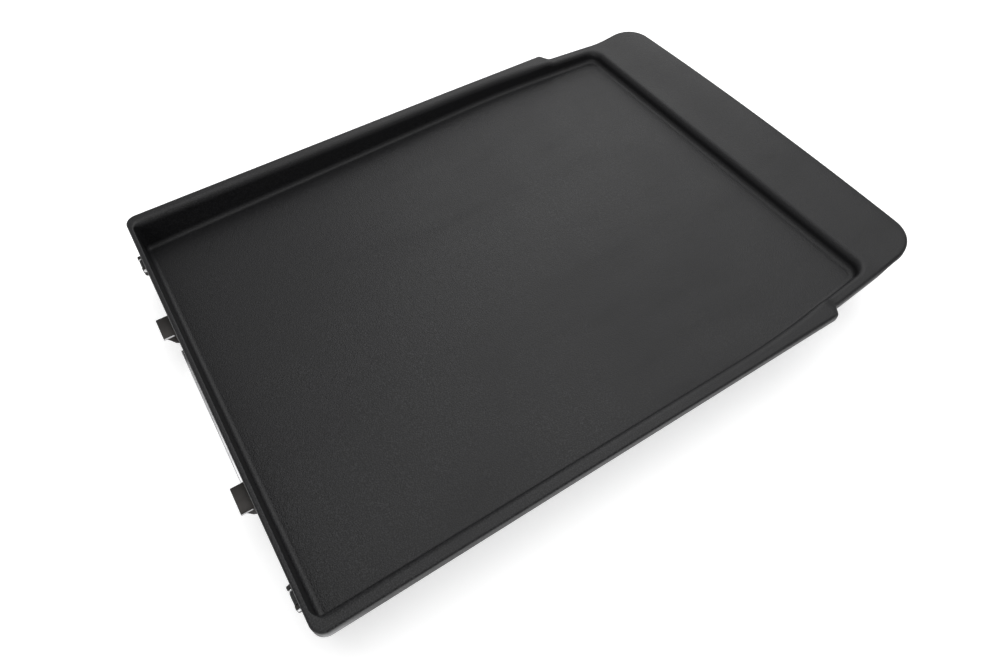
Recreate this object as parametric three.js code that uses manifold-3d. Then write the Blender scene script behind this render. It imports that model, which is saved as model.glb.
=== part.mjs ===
// A slide-in electric griddle: a cast plate with its heater, terminals, heat shield, feet, docking hooks
// and guide rollers. Millimetres, +Z up, +X from the docking end towards the handle.
import * as THREE from "three";
import { mergeVertices } from "three/addons/utils/BufferGeometryUtils.js";
import Module from "manifold-3d";

// ---------------------------------------------------------------- driving dimensions

const TOUCH_GAP = 0.3; // between pieces that touch
const OVERCUT = 1; // how far a cutter runs past the face it opens

// Cast plate
const PLATE_WIDTH = 300; // across Y, over the rim
const PLATE_LENGTH = 403.8; // docking edge to the middle of the handle edge
const RIM_HEIGHT = 44; // rim top above the surface that the feet stand on
const DOCK_WALL_X = 3; // the well's wall behind the docking edge
const RIM_LAND = 4.5; // flat band between the outer edge and the well, along the sides
const RIM_ROUND = 4.5; // radius from the band down into the well
const DOCK_ROUND = 0.8; // small radius inside the docking edge, which has no wide rounding
const NECK_ROUND = 3.2; // the inner rounding is tighter beside the neck
const DOCK_CORNER = 7; // outer corner radius at the docking end
const WELL_CORNER = 4; // inner corner radius at the docking end
const WELL_CORNER_HANDLE = 9; // inner corner radius at the handle end
const WELL_DEPTH_DOCK = 22;
const WELL_DEPTH_HANDLE = 9.6;
const WELL_TAPER = 7; // each long side of the well moves in by this much near the handle
const WELL_TAPER_RUN = 110.5;
const FLOOR_FILLET = 3;
const ROUND_SHARE = 0.55; // most of the wall's height that the rounding above takes up
const FILLET_SHARE = 0.36; // and that the fillet below takes up
const FLOOR_THICKNESS = 3;
const WALL_THICKNESS = 3;
const WALL_UNDER_ROUND = 3.5; // outside radius where the walls meet the floor underneath
const DECK_THICKNESS = 3;
const SKIRT_THICKNESS = 2.6;
const SKIRT_DROP_DOCK = 7.3; // lower edge of the skirt below the rim top at the docking end
const SKIRT_DROP_SHOULDER = 5.4; // and at the shoulders
const SKIRT_DROP_NECK = 6.4; // and along the neck
const SKIRT_DROP_HANDLE = 0.2; // and round the swept-up handle
const EDGE_ROUND = 1.2; // rounding of the outer edge along the plate
const EDGE_ACROSS_NECK = 2; // the edge rolls down along the neck: this far across
const EDGE_DROP_NECK = 2.6; // and this far down
const EDGE_ROUND_HANDLE = 2; // rounding of the handle's edge
const HANDLE_DEPTH = 39.1; // flat apron beyond the well
const SHOULDER_TO_WELL_END = 42.2; // from the shoulder back to the well's handle wall
const SHOULDER_RUN = 9;
const SHOULDER_STEP = 5.7;
const NECK_STEP = 10.4; // how far the handle's widest part stands in from the plate's sides
const HANDLE_BOW = 2.5; // the handle edge bulges by this much in the middle
const HANDLE_CORNER = 21;
const NECK_DIP = 1.6; // the deck along the neck lies this far below the rim
const HANDLE_LIFT = 3.5; // the handle sweeps up this far above the rim

// Heater and sensor
const HEATER_DIAMETER = 6.5;
const HEATER_EDGE_INSET = 41; // outer run's distance inside the well wall
const HEATER_INNER_RUN = 36; // inner run's distance from the middle line
const HEATER_BEND = 16;
const HEATER_DOCK_RUN = 61; // first cross run, from the docking end of the well
const HEATER_RETURN = 109; // middle cross run, from the docking end of the well
const HEATER_STEP = 18; // length of one facet along the heater
const SENSOR_DIAMETER = 8;
const SENSOR_LENGTH = 30;
const SENSOR_START = 64;
const LEAD_DIAMETER = 3.2;
const CLAMP_SHEET = 1.2;
const CLAMP_WIDTH = 10;
const CLAMP_REACH = 9.5; // screw's distance from the heater's centre line

// Terminals
const POWER_PIN_DIAMETER = 4.8;
const POWER_PIN_SPACING = 28;
const EARTH_PIN_OFFSET = 28;
const SIGNAL_PIN_DIAMETER = 2;
const SIGNAL_PIN_SPACING = 11;
const PIN_RECESS = 3.3; // pin tips behind the mouth of the guard
const GUARD_WIDTH = 109;
const GUARD_HEIGHT = 11.5;
const GUARD_SHEET = 1;
const GUARD_PROUD = 3.9; // mouth of the guard beyond the docking edge
const BLOCK_START = 12;
const BLOCK_LENGTH = 12.5;

// Heat shield, mat and feet
const SHIELD_SHEET = 1;
const SHIELD_START = 26;
const SHIELD_SIDE_INSET = 10; // shield walls inside the well's outer walls
const SHIELD_CORNER = 12;
const SHIELD_FLANGE = 4;
const SHIELD_HEIGHT = 5.5; // underside of the shield above the ground
const MAT_THICKNESS = 3;
const MAT_MARGIN = 4;
const FOOT_HEIGHT = 5.2;
const FOOT_DIAMETER = 18;
const FOOT_TAPER = 1.5;
const BOSS_DIAMETER = 10;

// Docking hooks and roller brackets
const HOOK_SPACING = 126.9; // centre to centre
const HOOK_WIDTH = 16.3;
const HOOK_REACH = 8.4; // tip beyond the docking edge
const HOOK_SHEET = 1.7;
const LUG_DROP = 14; // tops of hooks and brackets below the rim top
const WEDGE_WIDTH = 12.6;
const WEDGE_DEPTH = 9;
const WEDGE_GROOVE = 0.6;
const BRACKET_SPACING = 244.8;
const BRACKET_WIDTH = 12.2;
const BRACKET_CHEEK = 1.8;
const BRACKET_REACH = 3.4;
const EAR_HEIGHT = 7;
const ROLLER_DIAMETER = 3;
const ROLLER_PIN_DIAMETER = 1.4;
const ROLLER_RUNNING_GAP = 0.1;
const WASHER_DIAMETER = 2.8;
const WASHER_THICKNESS = 0.9;

// Screws: radii and head height
const SCREW_SHANK = 1.75;
const SCREW_HEAD = 3.4;
const SCREW_HEAD_HEIGHT = 2;
const SOCKET_RADIUS = 1.6;
const SOCKET_DEPTH = 1.2;

// ---------------------------------------------------------------- places that follow from them

const halfWidth = PLATE_WIDTH / 2;
const wellStart = DOCK_WALL_X;
const wellEnd = PLATE_LENGTH - HANDLE_DEPTH - RIM_ROUND;
const wellHalf = halfWidth - RIM_LAND - RIM_ROUND;
const slope = (WELL_DEPTH_DOCK - WELL_DEPTH_HANDLE) / (wellEnd - wellStart);
const slopeAngle = Math.atan(slope);
const floorTop = (x) => RIM_HEIGHT - WELL_DEPTH_DOCK + slope * (x - wellStart);
const floorUnder = (x) => floorTop(x) - FLOOR_THICKNESS;
const shoulderX = wellEnd - SHOULDER_TO_WELL_END;
const shieldEnd = wellEnd - TOUCH_GAP - FLOOR_FILLET;
const shieldHalf = wellHalf - WELL_TAPER - SHIELD_SIDE_INSET + WALL_THICKNESS + SHIELD_FLANGE;
const shieldInside = SHIELD_HEIGHT + SHIELD_SHEET;
const heaterRadius = HEATER_DIAMETER / 2;
const pinHeight = SHIELD_HEIGHT + GUARD_HEIGHT / 2;
const guardTop = SHIELD_HEIGHT + GUARD_HEIGHT;
const lugTop = RIM_HEIGHT - LUG_DROP;
const SIDES = [
  { side: "left", sign: -1 },
  { side: "right", sign: 1 },
];

// ---------------------------------------------------------------- solids

const wasm = await Module();
wasm.setup();

// A closed three.js geometry as a solid that can be joined and cut.
function solid(geometry) {
  const bare = geometry.clone();
  bare.deleteAttribute("normal");
  bare.deleteAttribute("uv");
  const merged = mergeVertices(bare, 1e-4);
  const vertProperties = merged.getAttribute("position").array;
  const triVerts = new Uint32Array(merged.index.array);
  return new wasm.Manifold(new wasm.Mesh({ numProp: 3, vertProperties, triVerts }));
}

// The solid's surface as a three.js geometry again.
function surface(body) {
  const { vertProperties, triVerts } = body.getMesh();
  const geometry = new THREE.BufferGeometry();
  geometry.setAttribute("position", new THREE.BufferAttribute(vertProperties, 3));
  geometry.setIndex(new THREE.BufferAttribute(triVerts, 1));
  geometry.computeVertexNormals();
  return geometry;
}

const joined = (first, ...others) => others.reduce((all, other) => all.add(other), first);
const cut = (body, ...tools) => tools.reduce((left, tool) => left.subtract(tool), body);

// An outline in XY, extruded from one height to another.
function prism(outline, bottom, top, curveSegments = 6) {
  const options = { depth: top - bottom, bevelEnabled: false, curveSegments };
  return solid(new THREE.ExtrudeGeometry(outline, options).translate(0, 0, bottom));
}

// A side view in XZ, given as [x, z] corners, extruded across Y between two values.
function sideProfile(corners, yLow, yHigh) {
  const outline = new THREE.Shape(corners.map(([x, z]) => new THREE.Vector2(x, z)));
  const geometry = new THREE.ExtrudeGeometry(outline, { depth: yHigh - yLow, bevelEnabled: false });
  return solid(geometry.rotateX(Math.PI / 2).translate(0, yHigh, 0));
}

function box(xLow, xHigh, yLow, yHigh, zLow, zHigh) {
  const geometry = new THREE.BoxGeometry(xHigh - xLow, yHigh - yLow, zHigh - zLow);
  return solid(geometry.translate((xLow + xHigh) / 2, (yLow + yHigh) / 2, (zLow + zHigh) / 2));
}

// A round bar along Z, Y or X.
function post(radius, x, y, zLow, zHigh, sides = 16) {
  const geometry = new THREE.CylinderGeometry(radius, radius, zHigh - zLow, sides).rotateX(Math.PI / 2);
  return solid(geometry.translate(x, y, (zLow + zHigh) / 2));
}

function crossBar(radius, x, z, yLow, yHigh, sides = 20) {
  const geometry = new THREE.CylinderGeometry(radius, radius, yHigh - yLow, sides);
  return solid(geometry.translate(x, (yLow + yHigh) / 2, z));
}

function lengthBar(radius, y, z, xLow, xHigh, sides = 20) {
  const geometry = new THREE.CylinderGeometry(radius, radius, xHigh - xLow, sides).rotateZ(-Math.PI / 2);
  return solid(geometry.translate((xLow + xHigh) / 2, y, z));
}

// A body turned round Z from [radius, z] corners; the first and last are on the axis.
function turned(corners, segments = 20) {
  const profile = corners.map(([radius, z]) => new THREE.Vector2(radius, z));
  return new THREE.LatheGeometry(profile, segments).rotateX(Math.PI / 2);
}

// Slopes a body built level so that it follows the well floor; a point at x keeps its x and y.
function followFloor(geometry) {
  const rise = new THREE.Matrix4().set(1, 0, 0, 0, 0, 1, 0, 0, slope, 0, 1, -slope * wellStart, 0, 0, 0, 1);
  return geometry.applyMatrix4(rise);
}

const griddle = new THREE.Group();
griddle.position.x = (HOOK_REACH - PLATE_LENGTH) / 2;

function addPiece(name, geometry, material, parent = griddle) {
  const piece = new THREE.Mesh(geometry, material);
  piece.name = name;
  parent.add(piece);
  return piece;
}

// ---------------------------------------------------------------- materials

function finish(color, roughness, metalness) {
  return new THREE.MeshStandardMaterial({ color, roughness, metalness });
}

const coating = finish(0x3a3b3d, 0.5, 0.2);
const stainless = finish(0xc9cacc, 0.3, 1);
const zincSteel = finish(0x9a9c9f, 0.4, 1);
const blackSteel = finish(0x2f2b29, 0.5, 0.6);
const heaterSheath = finish(0x55514c, 0.55, 0.8);
const nickel = finish(0xb8b4a8, 0.25, 1);
const steatite = finish(0xe6e0d2, 0.7, 0);
const mineralFibre = finish(0xd9d4c6, 0.95, 0);
const aluminised = finish(0xb4b6b8, 0.45, 0.9);
const rubber = finish(0x1b1b1c, 0.85, 0);
const nylon = finish(0x121213, 0.5, 0);

// ---------------------------------------------------------------- griddle plate

// How many stations each stretch of the half outline has, from the docking edge to the handle edge.
const STATIONS = { dock: 3, corner: 4, side: 11, shoulder: 6, neck: 7, handleCorner: 7, end: 6 };
const DECK_RINGS = 4;

const point = (x, y) => new THREE.Vector2(x, y);
const eased = (t) => THREE.MathUtils.smoothstep(t, 0, 1);

// A value that eases from knot to knot; each knot is [x, value].
function along(knots, x) {
  if (x <= knots[0][0]) return knots[0][1];
  for (let i = 1; i < knots.length; i++) {
    const [x0, v0] = knots[i - 1];
    const [x1, v1] = knots[i];
    if (x <= x1) return v0 + (v1 - v0) * eased((x - x0) / (x1 - x0));
  }
  return knots[knots.length - 1][1];
}

const neckEnd = PLATE_LENGTH - HANDLE_BOW - HANDLE_CORNER;
const shoulderEnd = shoulderX + SHOULDER_RUN;
const liftStart = wellEnd + RIM_ROUND;
const lift = (x) => {
  const knots = [
    [shoulderX, 0],
    [shoulderEnd, -NECK_DIP],
    [liftStart - 3, -NECK_DIP],
    [PLATE_LENGTH - HANDLE_BOW, HANDLE_LIFT],
  ];
  return along(knots, x);
};
const edgeAcross = (x) => {
  const knots = [
    [shoulderX - 90, EDGE_ROUND],
    [shoulderX, EDGE_ACROSS_NECK],
    [neckEnd, EDGE_ACROSS_NECK],
    [PLATE_LENGTH, EDGE_ROUND_HANDLE],
  ];
  return along(knots, x);
};
const edgeDown = (x) => {
  const knots = [
    [shoulderX - 90, EDGE_ROUND],
    [shoulderX, EDGE_ACROSS_NECK],
    [shoulderEnd + 6, EDGE_DROP_NECK],
    [liftStart, EDGE_DROP_NECK],
    [PLATE_LENGTH - 2 * HANDLE_BOW, EDGE_ROUND_HANDLE],
  ];
  return along(knots, x);
};
const skirtLow = (x) => {
  const knots = [
    [0, -SKIRT_DROP_DOCK],
    [shoulderX, -SKIRT_DROP_SHOULDER],
    [shoulderEnd + 3, -SKIRT_DROP_NECK],
    [liftStart - 3, -SKIRT_DROP_NECK],
    [neckEnd + 2 * HANDLE_BOW + 8, -SKIRT_DROP_HANDLE - 0.5],
    [PLATE_LENGTH, -SKIRT_DROP_HANDLE],
  ];
  return along(knots, x);
};

// Evenly spaced points from one to the other, without the last.
function straight(from, to, steps) {
  return Array.from({ length: steps }, (_, i) => from.clone().lerp(to, i / steps));
}

function round(cx, cy, radius, start, end, steps) {
  return Array.from({ length: steps }, (_, i) => {
    const angle = start + ((end - start) * i) / steps;
    return point(cx + radius * Math.cos(angle), cy + radius * Math.sin(angle));
  });
}

// The plate's outline from the middle of the docking edge to the middle of the handle edge.
function plateHalf() {
  const neckSide = halfWidth - SHOULDER_STEP;
  const handleSide = halfWidth - NECK_STEP;
  const bowStart = handleSide - HANDLE_CORNER;
  const bowRadius = (bowStart ** 2 + HANDLE_BOW ** 2) / (2 * HANDLE_BOW);
  const bowAngle = Math.asin(bowStart / bowRadius);
  const dockCornerY = DOCK_CORNER - halfWidth;
  const step = new THREE.CubicBezierCurve(
    point(shoulderX, -halfWidth),
    point(shoulderX + SHOULDER_RUN / 2, -halfWidth),
    point(shoulderEnd - SHOULDER_RUN / 2, -neckSide),
    point(shoulderEnd, -neckSide),
  );
  return [
    ...straight(point(0, 0), point(0, dockCornerY), STATIONS.dock),
    ...round(DOCK_CORNER, dockCornerY, DOCK_CORNER, Math.PI, 1.5 * Math.PI, STATIONS.corner),
    ...straight(point(DOCK_CORNER, -halfWidth), point(shoulderX, -halfWidth), STATIONS.side),
    ...step.getPoints(STATIONS.shoulder).slice(0, -1),
    ...straight(point(shoulderEnd, -neckSide), point(neckEnd, -handleSide), STATIONS.neck),
    ...round(neckEnd, -bowStart, HANDLE_CORNER, -Math.PI / 2, -bowAngle, STATIONS.handleCorner),
    ...round(PLATE_LENGTH - bowRadius, 0, bowRadius, -bowAngle, 0, STATIONS.end),
    point(PLATE_LENGTH, 0),
  ];
}

// The well's outline at its wall, with as many points as the plate's.
function wellHalfOutline() {
  const endHalf = wellHalf - WELL_TAPER;
  const last = wellEnd - WELL_CORNER_HANDLE;
  const taperX = wellEnd - WELL_TAPER_RUN;
  const nearNeck = STATIONS.shoulder + STATIONS.neck;
  const side = [];
  for (let i = 0; i < STATIONS.side + nearNeck; i++) {
    const t = i < STATIONS.side ? i / STATIONS.side : (i - STATIONS.side) / nearNeck;
    const from = i < STATIONS.side ? DOCK_CORNER : shoulderX;
    const x = from + ((i < STATIONS.side ? shoulderX : last) - from) * t;
    side.push(point(x, (WELL_TAPER * Math.max(0, x - taperX)) / (last - taperX) - wellHalf));
  }
  const dockY = WELL_CORNER - wellHalf;
  const endY = WELL_CORNER_HANDLE - endHalf;
  return [
    ...straight(point(wellStart, 0), point(wellStart, dockY), STATIONS.dock),
    ...round(wellStart + WELL_CORNER, dockY, WELL_CORNER, Math.PI, 1.5 * Math.PI, STATIONS.corner),
    ...side,
    ...round(last, endY, WELL_CORNER_HANDLE, -Math.PI / 2, 0, STATIONS.handleCorner),
    ...straight(point(wellEnd, endY), point(wellEnd, 0), STATIONS.end),
    point(wellEnd, 0),
  ];
}

const bothSides = (half) => [...half, ...half.slice(1, -1).reverse().map((p) => point(p.x, -p.y))];

// Unit vectors square to a closed outline, pointing out.
function outward(outline) {
  return outline.map((_, i) => {
    const next = outline[(i + 1) % outline.length];
    const before = outline[(i + outline.length - 1) % outline.length];
    return point(next.y - before.y, before.x - next.x).normalize();
  });
}

const overRim = (x) => floorTop(x) - RIM_HEIGHT;

// Each station: a point on the plate's outline, one on the well's wall, and the sizes that go with them.
const wellPoints = bothSides(wellHalfOutline());
const wellOut = outward(wellPoints);
const platePoints = bothSides(plateHalf());
const plateOut = outward(platePoints);
const stations = platePoints.map((edge, i) => {
  const wall = wellPoints[i];
  const wallOut = wellOut[i];
  const nearDock = eased(1 - (wall.x - wellStart) / (WELL_CORNER * 1.2));
  const nearNeck = eased((wall.x - shoulderX + 20) / 22) * wallOut.y ** 2;
  const rimRound = RIM_ROUND + (DOCK_ROUND - RIM_ROUND) * nearDock + (NECK_ROUND - RIM_ROUND) * nearNeck;
  const outer = wall.clone().addScaledVector(wallOut, WALL_THICKNESS);
  const channel = Math.max(0, edge.clone().sub(outer).dot(plateOut[i]));
  const open = eased((channel - SKIRT_THICKNESS) / 2);
  const height = lift(wall.x + wallOut.x * rimRound) - overRim(wall.x);
  const roundDown = Math.min(rimRound, ROUND_SHARE * height);
  const filletUp = Math.min(FLOOR_FILLET, FILLET_SHARE * height);
  return { edge, edgeOut: plateOut[i], wall, wallOut, rimRound, roundDown, filletUp, channel, open };
});

const movedIn = (s, distance) => s.edge.clone().addScaledVector(s.edgeOut, -distance);
const movedOut = (s, distance) => s.wall.clone().addScaledVector(s.wallOut, distance);
const quarter = (steps) => Array.from({ length: steps + 1 }, (_, i) => (Math.PI / 2) * (i / steps));

// Rings round the plate's section. Each gives a place in plan and a height over the rim top.
const edgeRing = (angle) => (s) => {
  const down = edgeDown(s.edge.x) * (1 - Math.sin(angle));
  return [movedIn(s, edgeAcross(s.edge.x) * (1 - Math.cos(angle))), lift(s.edge.x) - down];
};
const deckRing = (t) => (s) => {
  const flat = movedIn(s, edgeAcross(s.edge.x)).lerp(movedOut(s, s.rimRound), t);
  return [flat, lift(flat.x)];
};
const roundingRing = (angle) => (s) => {
  const flat = movedOut(s, s.rimRound * (1 - Math.sin(angle)));
  return [flat, lift(movedOut(s, s.rimRound).x) - s.roundDown * (1 - Math.cos(angle))];
};
const filletRing = (angle) => (s) => {
  const flat = movedOut(s, -FLOOR_FILLET * (1 - Math.cos(angle)));
  return [flat, overRim(flat.x) + s.filletUp * (1 - Math.sin(angle))];
};
const skirtBottomRing = (inset) => (s) => [movedIn(s, Math.min(inset, s.channel)), skirtLow(s.edge.x)];
const ceilingRing = (t) => (s) => {
  const used = Math.min(SKIRT_THICKNESS, s.channel);
  const flat = movedIn(s, used).lerp(movedOut(s, WALL_THICKNESS), t);
  const low = skirtLow(s.edge.x);
  return [flat, low + (lift(flat.x) - DECK_THICKNESS - low) * s.open];
};
const underRing = (angle) => (s) => {
  const flat = movedOut(s, WALL_THICKNESS - WALL_UNDER_ROUND * (1 - Math.cos(angle)));
  return [flat, overRim(flat.x) - FLOOR_THICKNESS + WALL_UNDER_ROUND * (1 - Math.sin(angle))];
};

// A closed body from rings of equally many points, capped at both ends.
function loft(rings) {
  const count = rings[0].length;
  const positions = rings.flat(2);
  const triangles = [];
  for (let r = 0; r + 1 < rings.length; r++) {
    for (let i = 0; i < count; i++) {
      const next = (i + 1) % count;
      const [a, b, c, d] = [r * count + i, r * count + next, (r + 1) * count + next, (r + 1) * count + i];
      triangles.push([a, c, b], [a, d, c]);
    }
  }
  for (const [ring, first] of [[rings[0], 0], [rings[rings.length - 1], (rings.length - 1) * count]]) {
    const flat = ring.map(([x, y]) => point(x, y));
    const turned = THREE.ShapeUtils.triangulateShape(flat, []);
    for (const [a, b, c] of turned) {
      triangles.push(first === 0 ? [a, b, c] : [first + a, first + c, first + b]);
    }
  }
  const geometry = new THREE.BufferGeometry();
  geometry.setAttribute("position", new THREE.Float32BufferAttribute(positions, 3));
  geometry.setIndex(triangles.flat());
  const merged = mergeVertices(geometry, 1e-3);
  const index = Array.from(merged.index.array);
  const kept = [];
  for (let i = 0; i < index.length; i += 3) {
    const [a, b, c] = index.slice(i, i + 3);
    if (a !== b && b !== c && a !== c) kept.push(a, b, c);
  }
  merged.setIndex(kept);
  return solid(merged);
}

// The casting without its bosses: floor, wall, rim, skirt and the hollow behind it, then under the floor.
function castShell() {
  const rings = [
    ...quarter(3).reverse().map(filletRing),
    ...quarter(4).reverse().map(roundingRing),
    ...Array.from({ length: DECK_RINGS - 1 }, (_, i) => deckRing(1 - (i + 1) / DECK_RINGS)),
    ...quarter(3).reverse().map(edgeRing),
    skirtBottomRing(0),
    skirtBottomRing(SKIRT_THICKNESS),
    ...[0, 1 / 3, 2 / 3, 1].map(ceilingRing),
    ...quarter(3).map(underRing),
  ];
  return loft(
    rings.map((ring) =>
      stations.map((station) => {
        const [flat, height] = ring(station);
        return [flat.x, flat.y, RIM_HEIGHT + height];
      }),
    ),
  );
}

// Places of the six bosses that carry the shield; the four outer ones carry the feet too.
const footX = { dock: SHIELD_START + 20, handle: shieldEnd - 20 };
const footY = shieldHalf - 18;
const footPlaces = SIDES.flatMap(({ side, sign }) => [
  { name: `dock_${side}`, x: footX.dock, y: sign * footY },
  { name: `handle_${side}`, x: footX.handle, y: sign * footY },
]);
const panScrewY = shieldHalf - SHIELD_FLANGE - SHIELD_SHEET - BOSS_DIAMETER / 2 - 1;
const panScrewPlaces = SIDES.map(({ side, sign }) => {
  return { name: side, x: (footX.dock + footX.handle) / 2, y: sign * panScrewY };
});

const guardScrewX = BLOCK_START + BLOCK_LENGTH / 2;
const guardScrewY = GUARD_WIDTH / 2 - 12;
const hookScrewX = 10;
const hookScrewY = 3.9;
const hookFootTop = guardTop - 2.3;
const bracketScrewX = hookScrewX;
const hookY = HOOK_SPACING / 2;
const bracketY = BRACKET_SPACING / 2;

// Clamps sit on the outer and inner heater runs, near the middle of the plate.
const heaterOuterY = wellHalf - HEATER_EDGE_INSET;
const clampPlaces = SIDES.flatMap(({ side, sign }) => [
  { name: `outer_${side}`, x: (wellStart + wellEnd) / 2, y: sign * heaterOuterY, sign: -sign },
  { name: `inner_${side}`, x: (wellStart + wellEnd) * 0.62, y: sign * HEATER_INNER_RUN, sign: -sign },
]);

// Frame of the floor's underside: its X runs along the slope and its Z is square to the floor.
const floorFrame = new THREE.Group();
floorFrame.position.z = floorUnder(0);
floorFrame.rotation.y = -slopeAngle;
floorFrame.updateMatrix();
griddle.add(floorFrame);
const alongFloor = (x) => x / Math.cos(slopeAngle);
const inFloorFrame = (body) => solid(surface(body).applyMatrix4(floorFrame.matrix));

// A cast boss from a given height up into the floor, and the blind hole for its screw.
function boss(x, y, bottom, radius = BOSS_DIAMETER / 2) {
  return post(radius, x, y, bottom, floorUnder(x) + 1.5);
}

function screwHole(x, y, bottom, top) {
  return post(SCREW_SHANK + TOUCH_GAP, x, y, bottom, top, 12);
}

const CLAMP_BOSS_DROP = 5;
const SENSOR_BOSS_WALL = 3.5;
const SENSOR_BOSS_BASE = 1.6;
const sensorX = SENSOR_START + SENSOR_LENGTH / 2;
const sensorZ = floorUnder(sensorX) - SENSOR_DIAMETER / 2 - 1;

function sensorBoss() {
  const half = SENSOR_DIAMETER / 2 + SENSOR_BOSS_WALL;
  const bottom = sensorZ - SENSOR_DIAMETER / 2 - TOUCH_GAP - SENSOR_BOSS_BASE;
  const reach = SENSOR_LENGTH / 2 - 4;
  const block = box(sensorX - reach, sensorX + reach, -half, half, bottom, floorUnder(sensorX) + 1.5);
  const boreRadius = SENSOR_DIAMETER / 2 + TOUCH_GAP;
  const bore = lengthBar(boreRadius, 0, sensorZ, sensorX - reach - 1, sensorX + reach + 1);
  return block.subtract(bore);
}

function griddlePlate() {
  let plate = castShell();
  for (const { x, y } of [...footPlaces, ...panScrewPlaces]) {
    plate = plate.add(boss(x, y, shieldInside + TOUCH_GAP));
    plate = plate.subtract(screwHole(x, y, shieldInside, shieldInside + 9));
  }
  for (const { sign } of SIDES) {
    const guardY = sign * guardScrewY;
    plate = plate.add(boss(guardScrewX, guardY, guardTop + TOUCH_GAP));
    plate = plate.subtract(screwHole(guardScrewX, guardY, guardTop, floorTop(guardScrewX) - 1.5));
    for (const offset of [-hookScrewY, hookScrewY]) {
      const y = sign * hookY + offset;
      plate = plate.add(boss(hookScrewX, y, hookFootTop + TOUCH_GAP, 3.6));
      plate = plate.subtract(screwHole(hookScrewX, y, hookFootTop, floorTop(hookScrewX) - 1.5));
    }
    plate = plate.add(boss(bracketScrewX, sign * bracketY, hookFootTop + TOUCH_GAP, 3.6));
    const holeTop = floorTop(bracketScrewX) - 1.5;
    plate = plate.subtract(screwHole(bracketScrewX, sign * bracketY, hookFootTop, holeTop));
  }
  for (const clamp of clampPlaces) {
    const x = alongFloor(clamp.x);
    const y = clamp.y + clamp.sign * CLAMP_REACH;
    plate = plate.add(inFloorFrame(post(3.6, x, y, -CLAMP_BOSS_DROP, 1.5)));
    const hole = post(SCREW_SHANK + TOUCH_GAP, x, y, -CLAMP_BOSS_DROP - OVERCUT, 0.6, 12);
    plate = plate.subtract(inFloorFrame(hole));
  }
  return plate.add(sensorBoss());
}

addPiece("griddle_plate", surface(griddlePlate()), coating);

// ---------------------------------------------------------------- screws

// A socket-head screw standing on its head, shank up, the head's seat at z = 0.
function screw(length) {
  const head = SCREW_HEAD_HEIGHT;
  const blank = solid(
    turned(
      [
        [0, -head],
        [SCREW_HEAD - 0.7, -head],
        [SCREW_HEAD, 0.7 - head],
        [SCREW_HEAD, 0],
        [SCREW_SHANK, 0],
        [SCREW_SHANK, length],
        [0, length],
      ],
      12,
    ),
  );
  const socket = new THREE.CylinderGeometry(SOCKET_RADIUS, SOCKET_RADIUS, 2 * SOCKET_DEPTH, 6);
  return surface(blank.subtract(solid(socket.rotateX(Math.PI / 2).translate(0, 0, -head))));
}

// ---------------------------------------------------------------- heating element and its clamps

// Straight runs joined by round bends through the given corners.
function bentPath(corners, bend) {
  const path = new THREE.CurvePath();
  let from = corners[0];
  for (let i = 1; i < corners.length - 1; i++) {
    const corner = corners[i];
    const shortest = Math.min(corner.distanceTo(corners[i - 1]), corner.distanceTo(corners[i + 1]));
    const radius = Math.min(bend, shortest / 2);
    const entry = corner.clone().lerp(corners[i - 1], radius / corner.distanceTo(corners[i - 1]));
    const exit = corner.clone().lerp(corners[i + 1], radius / corner.distanceTo(corners[i + 1]));
    path.add(new THREE.LineCurve3(from, entry));
    path.add(new THREE.QuadraticBezierCurve3(entry, corner, exit));
    from = exit;
  }
  path.add(new THREE.LineCurve3(from, corners[corners.length - 1]));
  return path;
}

function tube(path, radius, sides, steps) {
  const section = new THREE.Shape();
  for (let i = 0; i <= sides; i++) {
    const angle = (2 * Math.PI * i) / sides;
    const corner = [radius * Math.cos(angle), radius * Math.sin(angle)];
    if (i === 0) section.moveTo(...corner);
    else section.lineTo(...corner);
  }
  return new THREE.ExtrudeGeometry(section, { extrudePath: path, steps, bevelEnabled: false });
}

function heaterPath() {
  const terminalY = POWER_PIN_SPACING / 2;
  const underFloor = (x, y) => new THREE.Vector3(x, y, floorUnder(x) - TOUCH_GAP - heaterRadius);
  const farX = wellEnd - HEATER_EDGE_INSET;
  const dockX = wellStart + HEATER_DOCK_RUN;
  const returnX = wellStart + HEATER_RETURN;
  const half = [
    new THREE.Vector3(BLOCK_START + BLOCK_LENGTH + 1, terminalY, pinHeight),
    new THREE.Vector3(SHIELD_START + 14, terminalY, pinHeight),
    underFloor(dockX - HEATER_BEND, terminalY),
    underFloor(dockX, terminalY),
    underFloor(dockX, heaterOuterY),
    underFloor(farX, heaterOuterY),
    underFloor(farX, HEATER_INNER_RUN),
    underFloor(returnX, HEATER_INNER_RUN),
  ];
  const mirrored = half.map((p) => new THREE.Vector3(p.x, -p.y, p.z)).reverse();
  return bentPath([...half, ...mirrored], HEATER_BEND);
}

const heaterRun = heaterPath();
const heaterSteps = Math.ceil(heaterRun.getLength() / HEATER_STEP);
addPiece("heating_element", tube(heaterRun, heaterRadius, 8, heaterSteps), heaterSheath);

// A strap round the heater's underside with a tab that is screwed to its boss.
function clampStrap() {
  const inner = heaterRadius + TOUCH_GAP;
  const outer = inner + CLAMP_SHEET;
  const axis = -TOUCH_GAP - heaterRadius;
  const half = CLAMP_WIDTH / 2;
  const tabTop = -CLAMP_BOSS_DROP - TOUCH_GAP;
  const above = box(-half, half, -outer, outer, axis, outer);
  const ring = lengthBar(outer, 0, axis, -half, half, 24).subtract(above);
  const leg = box(-half, half, -outer, -inner, axis - 0.1, -TOUCH_GAP);
  const tab = box(-half, half, 2.6, CLAMP_REACH + 4, tabTop - CLAMP_SHEET, tabTop);
  const groove = lengthBar(inner, 0, axis, -half - 1, half + 1, 24);
  const hole = post(SCREW_SHANK + TOUCH_GAP, 0, CLAMP_REACH, tabTop - 3, 0, 12);
  return surface(cut(joined(ring, leg, tab), groove, hole));
}

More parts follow.
